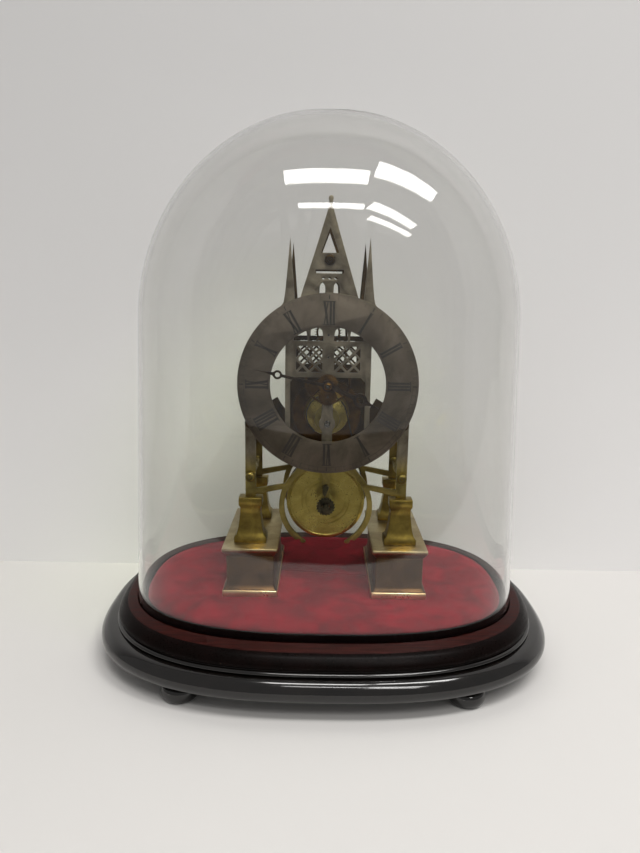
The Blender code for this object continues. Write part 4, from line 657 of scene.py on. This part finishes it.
def black_wax():
    look, tree, shader = new_material("engraver_black_wax")
    place = add_node(tree, "TexCoord").outputs["Object"]
    # Worn spots 2 mm across
    worn = add_node(tree, "TexNoise", {"Scale": 500.0, "Detail": 3.0}, {"Vector": place})
    tone = two_tones(tree, worn.outputs["Fac"], "#16120e", "#2e2720", 0.3, 0.8)
    tree.links.new(tone, shader.inputs["Base Color"])
    gloss = add_node(tree, "MapRange", {"To Min": 0.4, "To Max": 0.7}, {"Value": worn.outputs["Fac"]})
    tree.links.new(gloss.outputs[0], shader.inputs["Roughness"])
    return look


settle(new_piece("dial_numerals", shape, black_wax()), "frame", "dial_metal")


# Hands sawn and filed from steel, fire-darkened to a brown black, on a brass collet.
hand_steel = aged_brass("fire_darkened_steel", "#4a3b2e", "#2a2019", 0.34, stain_size=0.008)
dressed("hour_hand", (hand_steel,), 0.00012, "hour_work", "dark_steel", rounding=50)
dressed("minute_hand", (hand_steel,), 0.00012, "centre", "dark_steel", rounding=50)


# Wheels of cast and hammered brass with cut teeth, dark brown as painted shade. Arbors, pinions and
# levers are of polished steel, and what sits on the front plate is dark with oil.
painted_shade_wheel_brass = aged_brass("wheel_brass_painted_shade", "#6b4d20", "#3c2910", 0.38, stain_size=0.012)
for node in ("hand_collet", "centre_wheel", "third_wheel", "escape_wheel", "great_wheel", "minute_wheel",
             "hour_wheel"):
    dressed(node, (painted_shade_wheel_brass,), 0.0001, bodies[node], "lacquered_brass", rounding=46)
bright_steel = aged_brass("polished_carbon_steel", "#8d8b88", "#5f5c58", 0.26, stain_size=0.01)
dark_steel = aged_brass("oiled_dark_steel", "#57523f", "#2d2a20", 0.32, stain_size=0.006)
for node in ("centre_arbor", "third_arbor", "escape_arbor", "pallets", "crutch", "suspension_spring",
             "mainspring", "minute_wheel_stud"):
    dressed(node, (bright_steel,), 0.00008, bodies[node], "steel", rounding=46)
for node in ("cannon_pinion", "barrel_arbor", "setup_ratchet", "click", "stop_lever"):
    dressed(node, (dark_steel,), 0.00008, bodies[node], "steel", rounding=46)


# Mainspring barrel: a turned brass drum, open at the front, and a cap that snaps into it.
# The cap is turned with a raised boss, a sunk ring and a rounded edge.
low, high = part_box("barrel_drum")
barrel_z = (low.z + high.z) / 2
radius = (high.x - low.x) / 2
arbor_hole = 0.00332
barrel_wall = 0.002
barrel_brass = aged_brass("turned_barrel_brass", "#c4b364", "#928340", 0.30, (0, barrel_z), 0.02)
profile = [
    (arbor_hole, high.y), (0.010, high.y), (0.0105, high.y - 0.0006), (radius - 0.0012, high.y - 0.0006),
    (radius - 0.0003, high.y - 0.0009), (radius, high.y - 0.0014), (radius, low.y + 0.0008),
    (radius - 0.0003, low.y + 0.0001), (radius - 0.0008, low.y), (radius - barrel_wall, low.y),
    (radius - barrel_wall, high.y - barrel_wall), (arbor_hole, high.y - barrel_wall),
]
drum = new_piece("turned_barrel_drum", lathe(profile, 96, (0, 0, barrel_z), "Y", ring=True), barrel_brass)
settle(drum, "barrel", "lacquered_brass", "barrel_drum")
low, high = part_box("barrel_cap")
face = low.y + 0.0005
sunk = face + 0.0004
profile = [
    (arbor_hole, high.y), (arbor_hole, low.y), (0.0068, low.y), (0.0072, low.y + 0.0002), (0.0074, face),
    (radius * 0.50, face), (radius * 0.51, sunk), (radius * 0.60, sunk), (radius * 0.61, face),
    (radius * 0.90, face), (radius * 0.915, low.y), (radius * 0.975, low.y + 0.0001),
    (radius * 0.993, low.y + 0.0005), (radius, low.y + 0.0012), (radius, high.y),
]
cap = new_piece("turned_barrel_cap", lathe(profile, 96, (0, 0, barrel_z), "Y", ring=True), barrel_brass)
settle(cap, "barrel", "lacquered_brass", "barrel_cap")


# The fusee: a brass cone with one spiral groove for the chain, on a steel arbor that ends in
# a square for the key. The groove's section is swept round and grows with the cone.
low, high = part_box("great_wheel")
fusee_z = (low.z + high.z) / 2
fusee_back = low.y - seat
fusee_length = 0.034
small_radius, large_radius, growth = 0.011, 0.021, 1.25
flange_share, groove_turns, groove_depth = 0.06, 7, 0.0014
pitch_share = (1 - 2 * flange_share) / (groove_turns + 1)
around = 48


def fusee_crest(share):
    """The cone's radius between two turns of the groove, from its front end to its back end."""
    return small_radius + (large_radius - small_radius) * share**growth


def fusee_place(share, depth, step):
    """A point of the cone at this depth below the crest, after these steps round it."""
    angle = 2 * math.pi * step / around
    radius = fusee_crest(share) - depth
    y = fusee_back - fusee_length * (1 - share)
    return Vector((radius * math.cos(angle), y, fusee_z + radius * math.sin(angle)))


groove_section = (
    (0.0, 0.0), (0.13, 0.0), (0.17, 0.45), (0.30, 0.9), (0.5, 1.0), (0.70, 0.9), (0.83, 0.45), (0.87, 0.0),
    (1.0, 0.0),
)
weld = 0.000005


def drawn_out(shape, edges):
    """Extrudes these edges, and gives the new corners from front to back and the new edges."""
    made = bmesh.ops.extrude_edge_only(shape, edges=edges)["geom"]
    corners = [item for item in made if isinstance(item, bmesh.types.BMVert)]
    corners.sort(key=lambda vert: vert.co.y)
    ahead = [
        item for item in made
        if isinstance(item, bmesh.types.BMEdge) and all(vert in corners for vert in item.verts)
    ]
    return corners, ahead


shape = bmesh.new()
line = [
    shape.verts.new(fusee_place(flange_share + pitch_share * s, groove_depth * d, 0))
    for s, d in groove_section
]
edges = [shape.edges.new(pair) for pair in zip(line, line[1:])]
for step in range(1, groove_turns * around + 1):
    line, edges = drawn_out(shape, edges)
    share = flange_share + pitch_share * step / around
    for vert, (s, d) in zip(line, groove_section):
        vert.co = fusee_place(share + pitch_share * s, groove_depth * d, step)
bmesh.ops.remove_doubles(shape, verts=shape.verts, dist=weld)
# The first and last turns run out into a plain flange and a flat end
fusee_middle = fusee_back - fusee_length / 2
for end, end_y, end_radius in (
    (-1, fusee_back - fusee_length, small_radius), (1, fusee_back, large_radius)
):
    edges = [e for e in shape.edges if e.is_boundary and (e.verts[0].co.y - fusee_middle) * end > 0]
    rim, _ = drawn_out(shape, edges)
    for vert in rim:
        outward = Vector((vert.co.x, 0, vert.co.z - fusee_z)).normalized() * end_radius
        vert.co = (outward.x, end_y, fusee_z + outward.z)
    bmesh.ops.remove_doubles(shape, verts=rim, dist=weld)
bmesh.ops.holes_fill(shape, edges=shape.edges, sides=0)
bmesh.ops.recalc_face_normals(shape, faces=shape.faces)
settle(new_piece("grooved_fusee_cone", shape, barrel_brass), "fusee", "lacquered_brass", "fusee_cone")
low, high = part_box("fusee_cone")
arbor_radius, pivot_radius, ease = 0.0026, 0.0006, 0.0002
square_side = 0.0034
square_back = -outer_face + 0.0006
profile = [
    (0, high.y), (0.0005, high.y), (pivot_radius, high.y - ease), (pivot_radius, pillar_half),
    (arbor_radius - ease, pillar_half), (arbor_radius, pillar_half - ease),
    (arbor_radius, square_back + 0.0006), (square_side / 2, square_back), (0, square_back),
]
shape = lathe(profile, 32, (0, 0, fusee_z), "Y")
corner = square_side / math.sqrt(2)
square = bmesh.ops.create_cone(shape, cap_ends=True, segments=4, radius1=corner, radius2=corner,
                               depth=square_back - low.y)["verts"]
bmesh.ops.rotate(shape, verts=square, matrix=Matrix.Rotation(math.pi / 4, 3, "Z"))
bmesh.ops.rotate(shape, verts=square, matrix=Matrix.Rotation(math.pi / 2, 3, "X"))
bmesh.ops.translate(shape, verts=square, vec=(0, (square_back + low.y) / 2, fusee_z))
tip = [e for v in square if v.co.y < low.y + 0.0001 for e in v.link_edges]
bmesh.ops.bevel(shape, geom=list(set(tip)), offset=0.0004, segments=2, profile=0.5, affect="EDGES",
                material=-1)
settle(new_piece("winding_arbor", shape, bright_steel), "fusee", "steel", "fusee_cone")


# The fusee chain: three turns on the barrel, a straight run up to the fusee and part of a
# turn on it. Oiled steel plates, one and two by turns, on rivets 2.6 mm apart.
chain_clear = 0.001
barrel_path = 0.036
barrel_turns = 3
turn_drift = 0.0028
chain_share = 0.62
chain_sides = 24
fusee_steps = 15
fusee_path = fusee_crest(chain_share + pitch_share / 2) + chain_clear
run_y = fusee_back - fusee_length * (1 - chain_share)
chain_start_y = run_y - turn_drift * barrel_turns
lean = math.asin((barrel_path - fusee_path) / (fusee_z - barrel_z))
fine = 4
route = []
barrel_steps = barrel_turns * chain_sides * fine
for n in range(barrel_steps + 1):
    share = n / barrel_steps
    angle = lean - 2 * math.pi * barrel_turns * (1 - share)
    route.append(Vector((barrel_path * math.cos(angle), chain_start_y + (run_y - chain_start_y) * share,
                         barrel_z + barrel_path * math.sin(angle))))
for n in range(fusee_steps * fine + 1):
    turned = n / fine / chain_sides
    angle = lean + 2 * math.pi * turned
    radius = fusee_crest(min(chain_share + pitch_share * (turned + 0.5), 1.0)) + chain_clear
    route.append(Vector((radius * math.cos(angle), run_y + fusee_length * pitch_share * turned,
                         fusee_z + radius * math.sin(angle))))
rivet_step = 0.0026
rivets = [route[0]]
for place in route[1:]:
    while (place - rivets[-1]).length >= rivet_step:
        rivets.append(rivets[-1] + (place - rivets[-1]).normalized() * rivet_step)
plate_width, inner_plate, outer_plate = 0.0013, 0.0005, 0.00035
plate_round, rivet_radius, rivet_proud = plate_width / 2, 0.00034, 0.0001
shape = bmesh.new()
to_back = Vector((0, 1, 0))
for number, (first, second) in enumerate(zip(rivets, rivets[1:])):
    along = (second - first).normalized()
    across = to_back.cross(along).normalized()
    facing = Matrix((along, across, along.cross(across))).transposed().to_4x4()
    middle = Matrix.Translation((first + second) / 2) @ facing
    if number % 2:
        plates = ((0.0, inner_plate),)
    else:
        plates = ((side * (inner_plate + outer_plate) / 2, outer_plate) for side in (-1, 1))
    for shift, thick in plates:
        # A round disc whose halves are drawn apart makes the plate with its round ends
        plate = bmesh.ops.create_cone(shape, cap_ends=True, segments=10, radius1=plate_round,
                                      radius2=plate_round, depth=thick * 0.9)["verts"]
        for vert in plate:
            vert.co.x += math.copysign(rivet_step / 2, vert.co.x)
            vert.co.z += shift
        bmesh.ops.transform(shape, verts=plate, matrix=middle)
    rivet = bmesh.ops.create_cone(shape, cap_ends=True, segments=6, radius1=rivet_radius,
                                  radius2=rivet_radius,
                                  depth=inner_plate + 2 * outer_plate + rivet_proud)["verts"]
    bmesh.ops.transform(shape, verts=rivet, matrix=Matrix.Translation(first) @ facing)
chain_steel = aged_brass("oiled_chain_steel", "#6a665f", "#3b3833", 0.34, stain_size=0.006)
settle(new_piece("riveted_fusee_chain", shape, chain_steel), bodies["fusee_chain"], "steel", "fusee_chain")


# The pendulum: a brass rod with a turned head, a lens-shaped bob of two spun shells, and a
# knurled rating nut under it.
low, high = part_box("pendulum_bob")
middle = (low + high) / 2
bob_radius = (high.z - low.z) / 2
bob_half = (high.y - low.y) / 2
bob_brass = aged_brass("spun_bob_brass", "#b39448", "#826b30", 0.28, (0, middle.z), 0.02)
lens = smoothed([(0.0, 1.0), (0.3, 0.96), (0.6, 0.74), (0.86, 0.36), (0.97, 0.16)], 8)
lens += [(0.99, 0.12), (1.0, 0.06), (1.0, -0.06), (0.99, -0.12)]
lens += [(r, -y) for r, y in reversed(lens[:-4])]
shape = lathe([(r * bob_radius, y * bob_half) for r, y in lens], 96, middle, "Y")
settle(new_piece("spun_lens_bob", shape, bob_brass), "pendulum", "lacquered_brass", "pendulum_bob")
low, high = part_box("pendulum_rod")
middle = (low + high) / 2
rod_radius = 0.0011
head = (high.x - low.x) / 2
profile = [
    (0, low.z), (rod_radius * 0.7, low.z), (rod_radius, low.z + 0.0003), (rod_radius, high.z - 3 * head),
    (rod_radius * 1.3, high.z - 2.9 * head), (rod_radius * 1.3, high.z - 2.6 * head),
    (head * 0.75, high.z - 2.4 * head), (head, high.z - 2 * head), (head, high.z - 0.0003),
    (head - 0.0003, high.z), (0, high.z),
]
shape = lathe(profile, 32, (middle.x, middle.y, 0))
settle(new_piece("turned_pendulum_rod", shape, bob_brass), "pendulum", "lacquered_brass", "pendulum_rod")
low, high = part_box("rating_nut")
middle = (low + high) / 2
nut_radius = (high.x - low.x) / 2
nut_height = high.z - low.z
rod_hole = 0.00152 / nut_radius
profile = [
    (rod_hole, 0), (0.7, 0), (0.82, 0.08), (1.0, 0.22), (1.0, 0.70), (0.82, 0.80), (0.62, 0.84), (0.60, 1.0),
    (rod_hole, 1.0),
]
nut_sides = 72
shape = lathe([(r * nut_radius, low.z + h * nut_height) for r, h in profile], nut_sides,
              (middle.x, middle.y, 0), ring=True)
flute = 0.96
for vert in shape.verts:
    turn = math.atan2(vert.co.y - middle.y, vert.co.x)
    reach = math.hypot(vert.co.x, vert.co.y - middle.y)
    # Every second line round the rim is a flute of the knurling
    if reach > 0.98 * nut_radius and round(turn / (2 * math.pi) * nut_sides) % 2:
        vert.co.x *= flute
        vert.co.y = middle.y + (vert.co.y - middle.y) * flute
settle(new_piece("knurled_rating_nut", shape, bob_brass), "pendulum", "lacquered_brass", "rating_nut")
